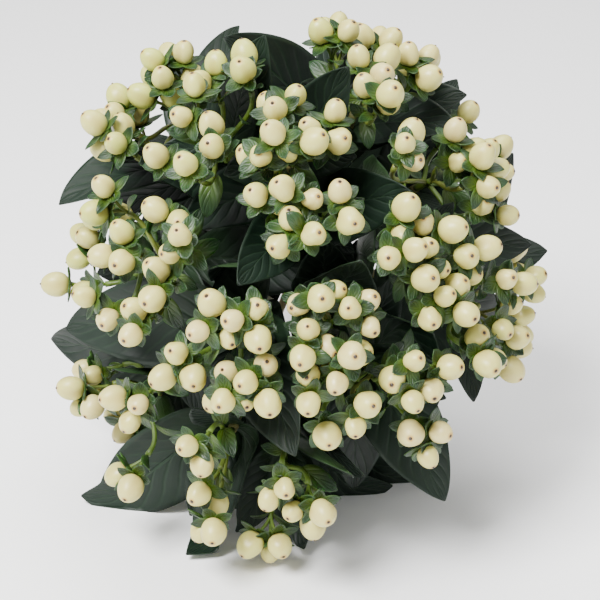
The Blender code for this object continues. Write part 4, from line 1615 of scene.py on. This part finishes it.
@dataclass
class TieBandPiece:
    """A rubber band wound round the stems several times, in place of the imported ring."""

    finishes: dict[Finish, Material]
    shift: Array
    turns: int = 4
    strand_width: float = 0.0015
    strand_thickness: float = 0.0011
    strand_gap: float = 0.0004
    return_from: float = 0.86
    return_rise: float = 0.0006
    squareness: float = 0.6
    steps_a_turn: int = 64
    sides: int = 10

    def build(self) -> bpy.types.Object:
        """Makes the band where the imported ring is.

        Returns:
            The band.
        """
        low, high = (np.array(corner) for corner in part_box("tie_band"))
        outer = (high[0] - low[0]) / 2
        inner = outer - self.strand_thickness - self.strand_gap
        piece = PieceBuilder("wound_tie_band", self.finishes)
        count = self.turns * self.steps_a_turn
        places = np.arange(count)
        share = places / count
        turn = places * 2 * pi / self.steps_a_turn
        back = (share - self.return_from) / (1.0 - self.return_from)
        climb = np.where(back < 0.0, share / self.return_from, 1.0 - back) - 0.5
        over = np.where(back > 0.0, np.sin(back * pi), 0.0) ** 0.5 * self.return_rise
        out = inner + self.strand_thickness / 2 + over
        level = climb * self.strand_width * (self.turns - 0.6)
        side = ACROSS
        other = np.cross(AXIS, side)
        radial = np.outer(np.cos(turn), side) + np.outer(np.sin(turn), other)
        middle = TIE + radial * out[:, None] + AXIS * level[:, None]
        section = []
        for angle in np.arange(self.sides) * 2 * pi / self.sides:
            wide = np.sign(cos(angle)) * abs(cos(angle)) ** self.squareness * self.strand_width / 2
            thick = np.sign(sin(angle)) * abs(sin(angle)) ** self.squareness * self.strand_thickness / 2
            section.append(middle + AXIS * wide + radial * thick)
        points = np.stack(section, axis=1)
        closed = np.concatenate((points, points[:1]))
        faces = grid_faces(count + 1, self.sides, closed=True) % (count * self.sides)
        piece.add(closed[:-1], [faces], Finish.RUBBER, along=np.repeat(share, self.sides), tone=0.5)
        made = piece.build(self.shift)
        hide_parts("tie_band")
        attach(made, "root")
        return made


# Materials


def colour(red: int, green: int, blue: int) -> tuple[float, float, float, float]:
    """A screen colour, 0 to 255 a channel, as the shaders' linear one.

    Args:
        red: The red channel.
        green: The green channel.
        blue: The blue channel.

    Returns:
        The linear colour, with full opacity.
    """
    linear = []
    for channel in (red, green, blue):
        share = channel / 255
        linear.append(share / 12.92 if share <= 0.04045 else ((share + 0.055) / 1.055) ** 2.4)
    return (*linear, 1.0)


class Canvas:
    """Places and joins the nodes of one node tree."""

    def __init__(self, tree: bpy.types.NodeTree) -> None:
        """Keeps the tree."""
        self.tree = tree

    def node(self, kind: str, **settings: object) -> bpy.types.Node:
        """Adds a node.

        Args:
            kind: Its type name in Blender.
            settings: Its properties.

        Returns:
            The node.
        """
        made = self.tree.nodes.new(kind)
        for name, value in settings.items():
            setattr(made, name, value)
        return made

    def feed(self, socket: Socket, value: object) -> None:
        """Joins an output to a socket, or sets the socket's own value.

        Args:
            socket: The socket to feed.
            value: An output socket, a number or a colour.
        """
        if isinstance(value, Socket):
            self.tree.links.new(value, socket)
        else:
            socket.default_value = value

    def math(self, operation: str, *values: object) -> Socket:
        """One step of arithmetic.

        Args:
            operation: Blender's name for it.
            values: Its inputs.

        Returns:
            The result's socket.
        """
        made = self.node("ShaderNodeMath", operation=operation)
        for socket, value in zip(made.inputs, values):
            self.feed(socket, value)
        return made.outputs[0]

    def times(self, first: object, second: object) -> Socket:
        """The product of two values."""
        return self.math("MULTIPLY", first, second)

    def plus(self, first: object, second: object) -> Socket:
        """The sum of two values."""
        return self.math("ADD", first, second)

    def mix(self, share: object, first: object, second: object) -> Socket:
        """A colour between two.

        Args:
            share: How much of the second.
            first: A colour or an output.
            second: Another.

        Returns:
            The colour's socket.
        """
        made = self.node("ShaderNodeMix", data_type="RGBA")
        self.feed(made.inputs[0], share)
        self.feed(made.inputs[6], first)
        self.feed(made.inputs[7], second)
        return made.outputs[2]

    def ease(self, value: object, low: float, high: float, start: float = 0.0, end: float = 1.0) -> Socket:
        """A value that goes smoothly from start to end as another goes from low to high.

        Args:
            value: The other value.
            low: Where it starts to count.
            high: Where it stops.
            start: The result at low.
            end: The result at high.

        Returns:
            The result's socket.
        """
        made = self.node("ShaderNodeMapRange", interpolation_type="SMOOTHSTEP")
        for socket, number in zip(made.inputs, (value, low, high, start, end)):
            self.feed(socket, number)
        return made.outputs[0]

    def mark(self, name: str) -> Socket:
        """What the piece's mesh says at each point under a name."""
        return self.node("ShaderNodeAttribute", attribute_name=name).outputs["Fac"]

    def noise(
        self, scale: object, detail: float = 2.0, roughness: float = 0.5, vector: object = None
    ) -> Socket:
        """Soft noise over the piece.

        Args:
            scale: How many waves a metre.
            detail: How many finer layers.
            roughness: How strong they are.
            vector: Where it is read, or nothing for the piece's own coordinates.

        Returns:
            The noise, about 0.5.
        """
        made = self.node("ShaderNodeTexNoise")
        if vector is None:
            vector = self.node("ShaderNodeTexCoord").outputs["Object"]
        self.feed(made.inputs["Vector"], vector)
        self.feed(made.inputs["Scale"], scale)
        self.feed(made.inputs["Detail"], detail)
        self.feed(made.inputs["Roughness"], roughness)
        return made.outputs["Fac"]

    def place(self, group: bpy.types.NodeTree, **values: object) -> bpy.types.NodeOutputs:
        """Places a shared group.

        Args:
            group: The group.
            values: Its inputs, with underscores for spaces.

        Returns:
            Its outputs.
        """
        made = self.node("ShaderNodeGroup", node_tree=group)
        for name, value in values.items():
            self.feed(made.inputs[name.replace("_", " ")], value)
        return made.outputs


class SharedEffects:
    """The node groups that more than one material uses."""

    def __init__(self) -> None:
        """Builds each group once."""
        self.mottle = self.make_mottle()
        self.specks = self.make_specks()
        self.veins = self.make_veins()
        self.fine_grain = self.make_fine_grain()

    def start(
        self, name: str, inputs: dict[str, float], outputs: tuple[str, ...]
    ) -> tuple[Canvas, dict, dict]:
        """Starts a group with its sockets.

        Args:
            name: The group's name.
            inputs: Its inputs with their usual values.
            outputs: Its outputs.

        Returns:
            Its canvas, the sockets that its inputs come out of, and those that its results go into.
        """
        tree = bpy.data.node_groups.new(name, "ShaderNodeTree")
        for label, usual in inputs.items():
            socket = tree.interface.new_socket(label, in_out="INPUT", socket_type="NodeSocketFloat")
            socket.default_value = usual
        for label in outputs:
            tree.interface.new_socket(label, in_out="OUTPUT", socket_type="NodeSocketFloat")
        canvas = Canvas(tree)
        entry = canvas.node("NodeGroupInput")
        leave = canvas.node("NodeGroupOutput")
        return canvas, {n: entry.outputs[n] for n in inputs}, {n: leave.inputs[n] for n in outputs}

    def make_mottle(self) -> bpy.types.NodeTree:
        """Uneven colour in broad soft patches with finer ones in them.

        Returns:
            The group.
        """
        canvas, given, result = self.start("mottle", {"Scale": 120.0, "Contrast": 1.0}, ("Shade",))
        broad = canvas.noise(given["Scale"], 2.0)
        fine = canvas.noise(canvas.times(given["Scale"], 5.3), 3.0)
        both = canvas.plus(canvas.times(broad, 0.7), canvas.times(fine, 0.3))
        away = canvas.times(canvas.math("SUBTRACT", both, 0.5), given["Contrast"])
        shade = canvas.plus(away, 0.5)
        shade.node.use_clamp = True
        canvas.feed(result["Shade"], shade)
        return canvas.tree

    def make_specks(self) -> bpy.types.NodeTree:
        """Tiny separate dots.

        Returns:
            The group.
        """
        canvas, given, result = self.start("specks", {"Scale": 700.0, "Size": 0.16, "Share": 0.3}, ("Mask",))
        cells = canvas.node("ShaderNodeTexVoronoi", feature="F1")
        canvas.feed(cells.inputs["Vector"], canvas.node("ShaderNodeTexCoord").outputs["Object"])
        canvas.feed(cells.inputs["Scale"], given["Scale"])
        parts = canvas.node("ShaderNodeSeparateColor")
        canvas.feed(parts.inputs[0], cells.outputs["Color"])
        chosen = canvas.math("LESS_THAN", parts.outputs[0], given["Share"])
        inside = canvas.math("SUBTRACT", given["Size"], cells.outputs["Distance"])
        soft = canvas.times(inside, 14.0)
        soft.node.use_clamp = True
        canvas.feed(result["Mask"], canvas.times(chosen, soft))
        return canvas.tree

    def make_veins(self) -> bpy.types.NodeTree:
        """The midrib and the side veins of a blade, which run forward from it.

        Returns:
            The group.
        """
        inputs = {"Pairs": 8.0, "Forward": 2.2, "Midrib Width": 0.06, "Vein Width": 0.2}
        canvas, given, result = self.start("leaf veins", inputs, ("Midrib", "Side Veins", "Between"))
        along, across = canvas.mark("along"), canvas.mark("across")
        aside = canvas.math("ABSOLUTE", across)
        wobble = canvas.times(canvas.math("SUBTRACT", canvas.noise(90.0, 2.0), 0.5), 0.5)
        run = canvas.math("POWER", aside, 0.85)
        pairs = canvas.times(along, given["Pairs"])
        phase = canvas.math("SUBTRACT", pairs, canvas.times(run, given["Forward"]))
        stagger = canvas.times(canvas.math("SIGN", across), 0.21)
        wave = canvas.math("PINGPONG", canvas.plus(canvas.plus(phase, stagger), wobble), 0.5)
        near = canvas.math("DIVIDE", wave, given["Vein Width"])
        line = canvas.ease(near, 0.0, 1.0, 1.0, 0.0)
        fade = canvas.ease(aside, 0.55, 1.0, 1.0, 0.15)
        canvas.feed(result["Side Veins"], canvas.times(line, fade))
        thin = canvas.times(given["Midrib Width"], canvas.math("SUBTRACT", 1.35, along))
        canvas.feed(result["Midrib"], canvas.ease(canvas.math("DIVIDE", aside, thin), 0.4, 1.0, 1.0, 0.0))
        canvas.feed(result["Between"], canvas.times(wave, 2.0))
        return canvas.tree

    def make_fine_grain(self) -> bpy.types.NodeTree:
        """The small unevenness of a skin, as a height.

        Returns:
            The group.
        """
        canvas, given, result = self.start("fine grain", {"Scale": 1500.0, "Depth": 1.0}, ("Height",))
        coarse = canvas.noise(given["Scale"], 3.0, 0.6)
        canvas.feed(result["Height"], canvas.times(coarse, given["Depth"]))
        return canvas.tree


class MaterialCanvas(Canvas):
    """The node tree of one material, with its shader."""

    def __init__(self, name: str, **plain: object) -> None:
        """Starts the material.

        Args:
            name: Its name.
            plain: Values of the shader's own sockets, with underscores for spaces.
        """
        self.material = bpy.data.materials.new(name)
        self.material.use_nodes = True
        super().__init__(self.material.node_tree)
        self.shader = self.tree.nodes["Principled BSDF"]
        for label, value in plain.items():
            self.shader.inputs[label.replace("_", " ")].default_value = value

    def dress(
        self, skin: object, roughness: object, height: object, distance: float, strength: float = 1.0
    ) -> Material:
        """Gives the shader its colour, its roughness and its relief.

        Args:
            skin: The colour's socket.
            roughness: The roughness's socket.
            height: The socket of the relief's height.
            distance: How far one unit of height stands out, in metres.
            strength: How strongly the relief shows.

        Returns:
            The material.
        """
        bump = self.node("ShaderNodeBump")
        bump.inputs["Strength"].default_value = strength
        bump.inputs["Distance"].default_value = distance
        self.feed(bump.inputs["Height"], height)
        values = {"Base Color": skin, "Roughness": roughness, "Normal": bump.outputs["Normal"]}
        for label, value in values.items():
            self.feed(self.shader.inputs[label], value)
        return self.material


@dataclass(frozen=True)
class BerryFinish:
    """Ivory skin, greener or pinker from berry to berry, with a brown scar at the tip and painted shade in
    its furrows.
    """

    ivory: tuple = colour(201, 197, 116)
    greenish: tuple = colour(188, 197, 96)
    blush: tuple = colour(208, 196, 132)
    # Painted shade: the darker tan that the skin takes deep in the furrows, also used for random mottling
    shaded_furrow: tuple = colour(176, 152, 78)
    base: tuple = colour(154, 150, 60)
    speck: tuple = colour(158, 122, 78)
    halo: tuple = colour(184, 142, 58)
    scar: tuple = colour(40, 24, 6)

    def make(self, effects: SharedEffects) -> Material:
        """Builds the material.

        Args:
            effects: The shared node groups.

        Returns:
            The material.
        """
        canvas = MaterialCanvas(
            Finish.BERRY.value,
            Subsurface_Weight=0.22,
            Subsurface_Radius=(1.0, 0.75, 0.4),
            Subsurface_Scale=0.003,
            Coat_Weight=0.12,
            Coat_Roughness=0.28,
        )
        tone, distance = canvas.mark("tone"), canvas.mark("tip_distance")
        mottle = canvas.place(effects.mottle, Scale=170.0, Contrast=1.7)["Shade"]
        skin = canvas.mix(canvas.ease(tone, 0.0, 0.35), self.blush, self.ivory)
        skin = canvas.mix(canvas.ease(tone, 0.45, 1.0), skin, self.greenish)
        skin = canvas.mix(canvas.times(mottle, 0.28), skin, self.shaded_furrow)
        # Painted shade: the skin is painted darker tan deep in each furrow
        skin = canvas.mix(canvas.times(canvas.mark("shaded_furrow"), 0.55), skin, self.shaded_furrow)
        skin = canvas.mix(canvas.ease(distance, 11.0, 16.5, 0.0, 0.6), skin, self.base)
        specks = canvas.place(effects.specks, Scale=620.0, Size=0.13, Share=0.1)["Mask"]
        skin = canvas.mix(canvas.times(specks, 0.75), skin, self.speck)
        uneven = canvas.times(canvas.math("SUBTRACT", mottle, 0.5), 0.5)
        ragged = canvas.plus(distance, uneven)
        skin = canvas.mix(canvas.ease(ragged, 0.9, 2.2, 0.75, 0.0), skin, self.halo)
        skin = canvas.mix(canvas.ease(ragged, 0.6, 1.05, 1.0, 0.0), skin, self.scar)
        roughness = canvas.ease(mottle, 0.2, 0.8, 0.36, 0.5)
        grain = canvas.place(effects.fine_grain, Scale=900.0, Depth=1.0)["Height"]
        return canvas.dress(skin, roughness, grain, 0.00012, 0.35)


@dataclass(frozen=True)
class BladeFinish:
    """The skin of a leaf, sepal or bract: its colours above and below, its veins and its gloss."""

    name: str
    dark: tuple
    light: tuple
    foot: tuple
    foot_reach: float
    margin: tuple
    underside: tuple
    vein: tuple
    vein_pairs: float
    vein_forward: float
    vein_share: float
    roughness: Pair
    coat: float
    shine: float
    relief: float
    mottle_scale: float
    see_through: float = 0.0

    def make(self, effects: SharedEffects) -> Material:
        """Builds the material.

        Args:
            effects: The shared node groups.

        Returns:
            The material.
        """
        canvas = MaterialCanvas(
            self.name,
            Coat_Weight=self.coat,
            Coat_Roughness=0.32,
            Specular_IOR_Level=self.shine,
            Subsurface_Weight=self.see_through,
            Subsurface_Radius=(0.5, 1.0, 0.2),
            Subsurface_Scale=0.002,
        )
        tone, along, across = canvas.mark("tone"), canvas.mark("along"), canvas.mark("across")
        below = canvas.mark("underside")
        mottle = canvas.place(effects.mottle, Scale=self.mottle_scale, Contrast=2.2)["Shade"]
        veins = canvas.place(effects.veins, Pairs=self.vein_pairs, Forward=self.vein_forward)
        side_veins = canvas.times(veins["Side Veins"], 0.6)
        lines = canvas.math("MAXIMUM", veins["Midrib"], side_veins)
        shade = canvas.plus(canvas.times(tone, 0.55), canvas.times(mottle, 0.45))
        skin = canvas.mix(shade, self.dark, self.light)
        skin = canvas.mix(canvas.ease(along, 0.0, self.foot_reach, 0.85, 0.0), skin, self.foot)
        skin = canvas.mix(canvas.times(lines, self.vein_share), skin, self.vein)
        edge = canvas.ease(canvas.math("ABSOLUTE", across), 0.86, 1.0, 0.0, 0.55)
        skin = canvas.mix(edge, skin, self.margin)
        under = canvas.mix(canvas.times(lines, 0.45), self.underside, self.vein)
        under = canvas.mix(canvas.times(mottle, 0.3), under, self.light)
        skin = canvas.mix(canvas.ease(below, 0.7, 1.0), skin, under)
        roughness = canvas.ease(mottle, 0.2, 0.8, *self.roughness)
        grain = canvas.place(effects.fine_grain, Scale=1300.0, Depth=0.12)["Height"]
        side = canvas.math("SUBTRACT", canvas.times(below, 2.0), 1.0)
        sunk = canvas.times(lines, side)
        swell = canvas.times(veins["Between"], 0.5)
        height = canvas.plus(canvas.plus(sunk, swell), grain)
        return canvas.dress(skin, roughness, height, self.relief)


LEAF_FINISH = BladeFinish(
    name=Finish.LEAF.value,
    dark=colour(5, 16, 9),
    light=colour(13, 32, 19),
    foot=colour(22, 44, 18),
    foot_reach=0.5,
    margin=colour(18, 36, 20),
    underside=colour(54, 80, 46),
    vein=colour(34, 58, 34),
    vein_pairs=9.0,
    vein_forward=2.6,
    vein_share=0.35,
    roughness=(0.46, 0.6),
    coat=0.0,
    shine=0.32,
    relief=0.00022,
    mottle_scale=60.0,
)
SEPAL_FINISH = BladeFinish(
    name=Finish.SEPAL.value,
    dark=colour(8, 29, 11),
    light=colour(25, 60, 20),
    foot=colour(78, 102, 18),
    foot_reach=0.85,
    margin=colour(52, 80, 28),
    underside=colour(48, 76, 28),
    vein=colour(48, 78, 28),
    vein_pairs=4.0,
    vein_forward=2.4,
    vein_share=0.4,
    roughness=(0.42, 0.56),
    coat=0.08,
    shine=0.45,
    relief=0.00015,
    mottle_scale=150.0,
    see_through=0.08,
)


@dataclass(frozen=True)
class StalkFinish:
    """Smooth yellow-green skin with a reddish side and small brown marks."""

    green: tuple = colour(96, 122, 34)
    deep: tuple = colour(60, 82, 30)
    reddish: tuple = colour(128, 112, 50)
    speck: tuple = colour(88, 62, 40)

    def make(self, effects: SharedEffects) -> Material:
        """Builds the material.

        Args:
            effects: The shared node groups.

        Returns:
            The material.
        """
        canvas = MaterialCanvas(Finish.STALK.value, Subsurface_Weight=0.06, Subsurface_Scale=0.002)
        mottle = canvas.place(effects.mottle, Scale=110.0, Contrast=2.4)["Shade"]
        specks = canvas.place(effects.specks, Scale=520.0, Size=0.15, Share=0.2)["Mask"]
        skin = canvas.mix(mottle, self.deep, self.green)
        skin = canvas.mix(canvas.ease(canvas.mark("tone"), 0.5, 1.0, 0.0, 0.35), skin, self.reddish)
        skin = canvas.mix(canvas.times(specks, 0.6), skin, self.speck)
        roughness = canvas.ease(mottle, 0.2, 0.8, 0.42, 0.6)
        grain = canvas.place(effects.fine_grain, Scale=1100.0, Depth=1.0)["Height"]
        return canvas.dress(skin, roughness, grain, 0.00012, 0.5)


@dataclass(frozen=True)
class BarkFinish:
    """Thin red-brown bark with long fine fibres, greener near the head."""

    brown: tuple = colour(112, 72, 46)
    dark: tuple = colour(66, 42, 30)
    pale: tuple = colour(164, 130, 92)
    green: tuple = colour(104, 110, 58)

    def make(self, effects: SharedEffects) -> Material:
        """Builds the material.

        Args:
            effects: The shared node groups.

        Returns:
            The material.
        """
        canvas = MaterialCanvas(Finish.BARK.value)
        along, across, tone = canvas.mark("along"), canvas.mark("across"), canvas.mark("tone")
        spot = canvas.node("ShaderNodeCombineXYZ")
        canvas.feed(spot.inputs[0], canvas.times(across, 7.0))
        canvas.feed(spot.inputs[1], canvas.times(along, 0.55))
        canvas.feed(spot.inputs[2], canvas.times(tone, 31.0))
        fibres = canvas.noise(1.6, 4.0, 0.65, spot.outputs[0])
        mottle = canvas.place(effects.mottle, Scale=70.0, Contrast=2.0)["Shade"]
        specks = canvas.place(effects.specks, Scale=330.0, Size=0.2, Share=0.25)["Mask"]
        skin = canvas.mix(canvas.ease(fibres, 0.35, 0.7), self.dark, self.brown)
        skin = canvas.mix(canvas.times(mottle, 0.4), skin, self.pale)
        skin = canvas.mix(canvas.ease(along, 15.0, 27.0, 0.0, 0.75), skin, self.green)
        skin = canvas.mix(canvas.times(specks, 0.7), skin, self.pale)
        roughness = canvas.ease(fibres, 0.3, 0.7, 0.5, 0.72)
        height = canvas.plus(fibres, canvas.times(specks, 0.5))
        return canvas.dress(skin, roughness, height, 0.0004, 0.8)


@dataclass(frozen=True)
class MottledFinish:
    """A plain surface in soft patches of two colours, with a fine grain."""

    name: str
    first: tuple
    second: tuple
    mottle_scale: float
    contrast: float
    roughness: Pair
    grain_scale: float
    grain_depth: float
    grain_strength: float

    def make(self, effects: SharedEffects) -> Material:
        """Builds the material.

        Args:
            effects: The shared node groups.

        Returns:
            The material.
        """
        canvas = MaterialCanvas(self.name)
        shade = canvas.place(effects.mottle, Scale=self.mottle_scale, Contrast=self.contrast)["Shade"]
        skin = canvas.mix(shade, self.first, self.second)
        roughness = canvas.ease(shade, 0.2, 0.8, *self.roughness)
        grain = canvas.place(effects.fine_grain, Scale=self.grain_scale, Depth=1.0)["Height"]
        return canvas.dress(skin, roughness, grain, self.grain_depth, self.grain_strength)


# The pale cut end of a stem, and dusty tan rubber
CUT_WOOD_FINISH = MottledFinish(
    name=Finish.CUT_WOOD.value,
    first=colour(214, 196, 150),
    second=colour(168, 142, 98),
    mottle_scale=600.0,
    contrast=2.6,
    roughness=(0.62, 0.8),
    grain_scale=2400.0,
    grain_depth=0.0002,
    grain_strength=0.7,
)
RUBBER_FINISH = MottledFinish(
    name=Finish.RUBBER.value,
    first=colour(196, 154, 100),
    second=colour(216, 184, 136),
    mottle_scale=220.0,
    contrast=2.2,
    roughness=(0.5, 0.68),
    grain_scale=2000.0,
    grain_depth=0.00015,
    grain_strength=0.6,
)


def make_finishes() -> dict[Finish, Material]:
    """Builds every material.

    Returns:
        The material of each finish.
    """
    effects = SharedEffects()
    return {
        Finish.BERRY: BerryFinish().make(effects),
        Finish.SEPAL: SEPAL_FINISH.make(effects),
        Finish.LEAF: LEAF_FINISH.make(effects),
        Finish.STALK: StalkFinish().make(effects),
        Finish.BARK: BarkFinish().make(effects),
        Finish.CUT_WOOD: CUT_WOOD_FINISH.make(effects),
        Finish.RUBBER: RUBBER_FINISH.make(effects),
    }


@dataclass(frozen=True)
class Light:
    """A broad soft light: its place from the head's middle, its side in metres and its power in watts."""

    name: str
    place: tuple[float, float, float]
    size: float
    power: float


LIGHTS = (
    Light("key", (-0.50, -0.60, 1.05), 0.55, 50.0),
    Light("fill", (0.9, -0.8, 0.35), 0.9, 3.0),
    Light("top", (0.1, 0.35, 1.2), 0.8, 16.0),
)


@dataclass
class Studio:
    """The pale floor, the soft lights and the camera."""

    picture_width: float = 0.246
    camera_distance: float = 0.80
    sensor_width: float = 36.0
    floor_size: float = 6.0
    floor_colour: tuple = colour(254, 254, 254)
    sky_strength: float = 0.6
    lights: tuple[Light, ...] = LIGHTS

    def build(self, shift: Array) -> None:
        """Makes the floor, the lights and the camera.

        Args:
            shift: How far the frame's origin lies from the layout's.
        """
        self.lay_floor()
        target = CENTRE + shift
        for light in self.lights:
            self.hang_light(light, target)
        self.set_camera(target)
        world = bpy.data.worlds.new("soft daylight")
        world.use_nodes = True
        sky = world.node_tree.nodes["Background"]
        sky.inputs["Color"].default_value = (1.0, 1.0, 1.0, 1.0)
        sky.inputs["Strength"].default_value = self.sky_strength
        bpy.context.scene.world = world

    def lay_floor(self) -> None:
        """Makes the pale floor."""
        half = self.floor_size / 2
        mesh = bpy.data.meshes.new("floor")
        corners = [(-half, -half, 0.0), (half, -half, 0.0), (half, half, 0.0), (-half, half, 0.0)]
        mesh.from_pydata(corners, [], [(0, 1, 2, 3)])
        floor = bpy.data.objects.new("floor", mesh)
        paper = MaterialCanvas("pale floor", Base_Color=self.floor_colour, Roughness=0.8)
        mesh.materials.append(paper.material)
        bpy.context.scene.collection.objects.link(floor)

    def hang_light(self, light: Light, target: Array) -> None:
        """Hangs one light.

        Args:
            light: The light.
            target: What it faces.
        """
        lamp = bpy.data.lights.new(light.name, "AREA")
        lamp.size = light.size
        lamp.energy = light.power
        hung = bpy.data.objects.new(light.name, lamp)
        hung.location = target + np.array(light.place)
        hung.rotation_euler = Vector(-np.array(light.place)).to_track_quat("-Z", "Y").to_euler()
        bpy.context.scene.collection.objects.link(hung)

    def set_camera(self, target: Array) -> None:
        """Puts the camera in front of the head, looking down on it.

        Args:
            target: The middle of the picture.
        """
        lens = bpy.data.cameras.new("camera")
        lens.sensor_width = self.sensor_width
        lens.lens = self.sensor_width * self.camera_distance / self.picture_width
        lens.clip_start = 0.01
        camera = bpy.data.objects.new("camera", lens)
        camera.location = target + SIGHT * self.camera_distance
        camera.rotation_euler = Vector(-SIGHT).to_track_quat("-Z", "Y").to_euler()
        bpy.context.scene.collection.objects.link(camera)
        bpy.context.scene.camera = camera


def report(made: bpy.types.Object) -> None:
    """Logs a piece with its number of faces."""
    log.info("%s: %d faces", made.name, len(made.data.polygons))


def main() -> None:
    """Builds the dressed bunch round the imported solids."""
    logging.basicConfig(level=logging.INFO, format="%(name)s: %(message)s")
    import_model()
    layout = BunchLayout(Random(SEED))
    layout.lay_out()
    leaves = sum(len(stem.leaves) for stem in layout.stems)
    log.info("%d stems with %d large leaves", len(layout.stems), leaves)
    low, high = (np.array(corner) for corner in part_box("tie_band"))
    shift = (low + high) / 2 - TIE
    finishes = make_finishes()
    draw = Random(SEED + 1)
    stems = LeafyStemPieces(layout, finishes, shift, draw)
    sprays = SprayPieces(layout, finishes, shift, draw)
    fillers = stems.find_fillers()
    log.info("%d small leaves", sum(map(len, fillers.values())))
    for stem in layout.stems:
        report(sprays.build(stem))
        report(stems.build(stem, fillers[stem.name]))
    report(TieBandPiece(finishes, shift).build())
    Studio().build(shift)


if __name__ == "__main__":
    main()
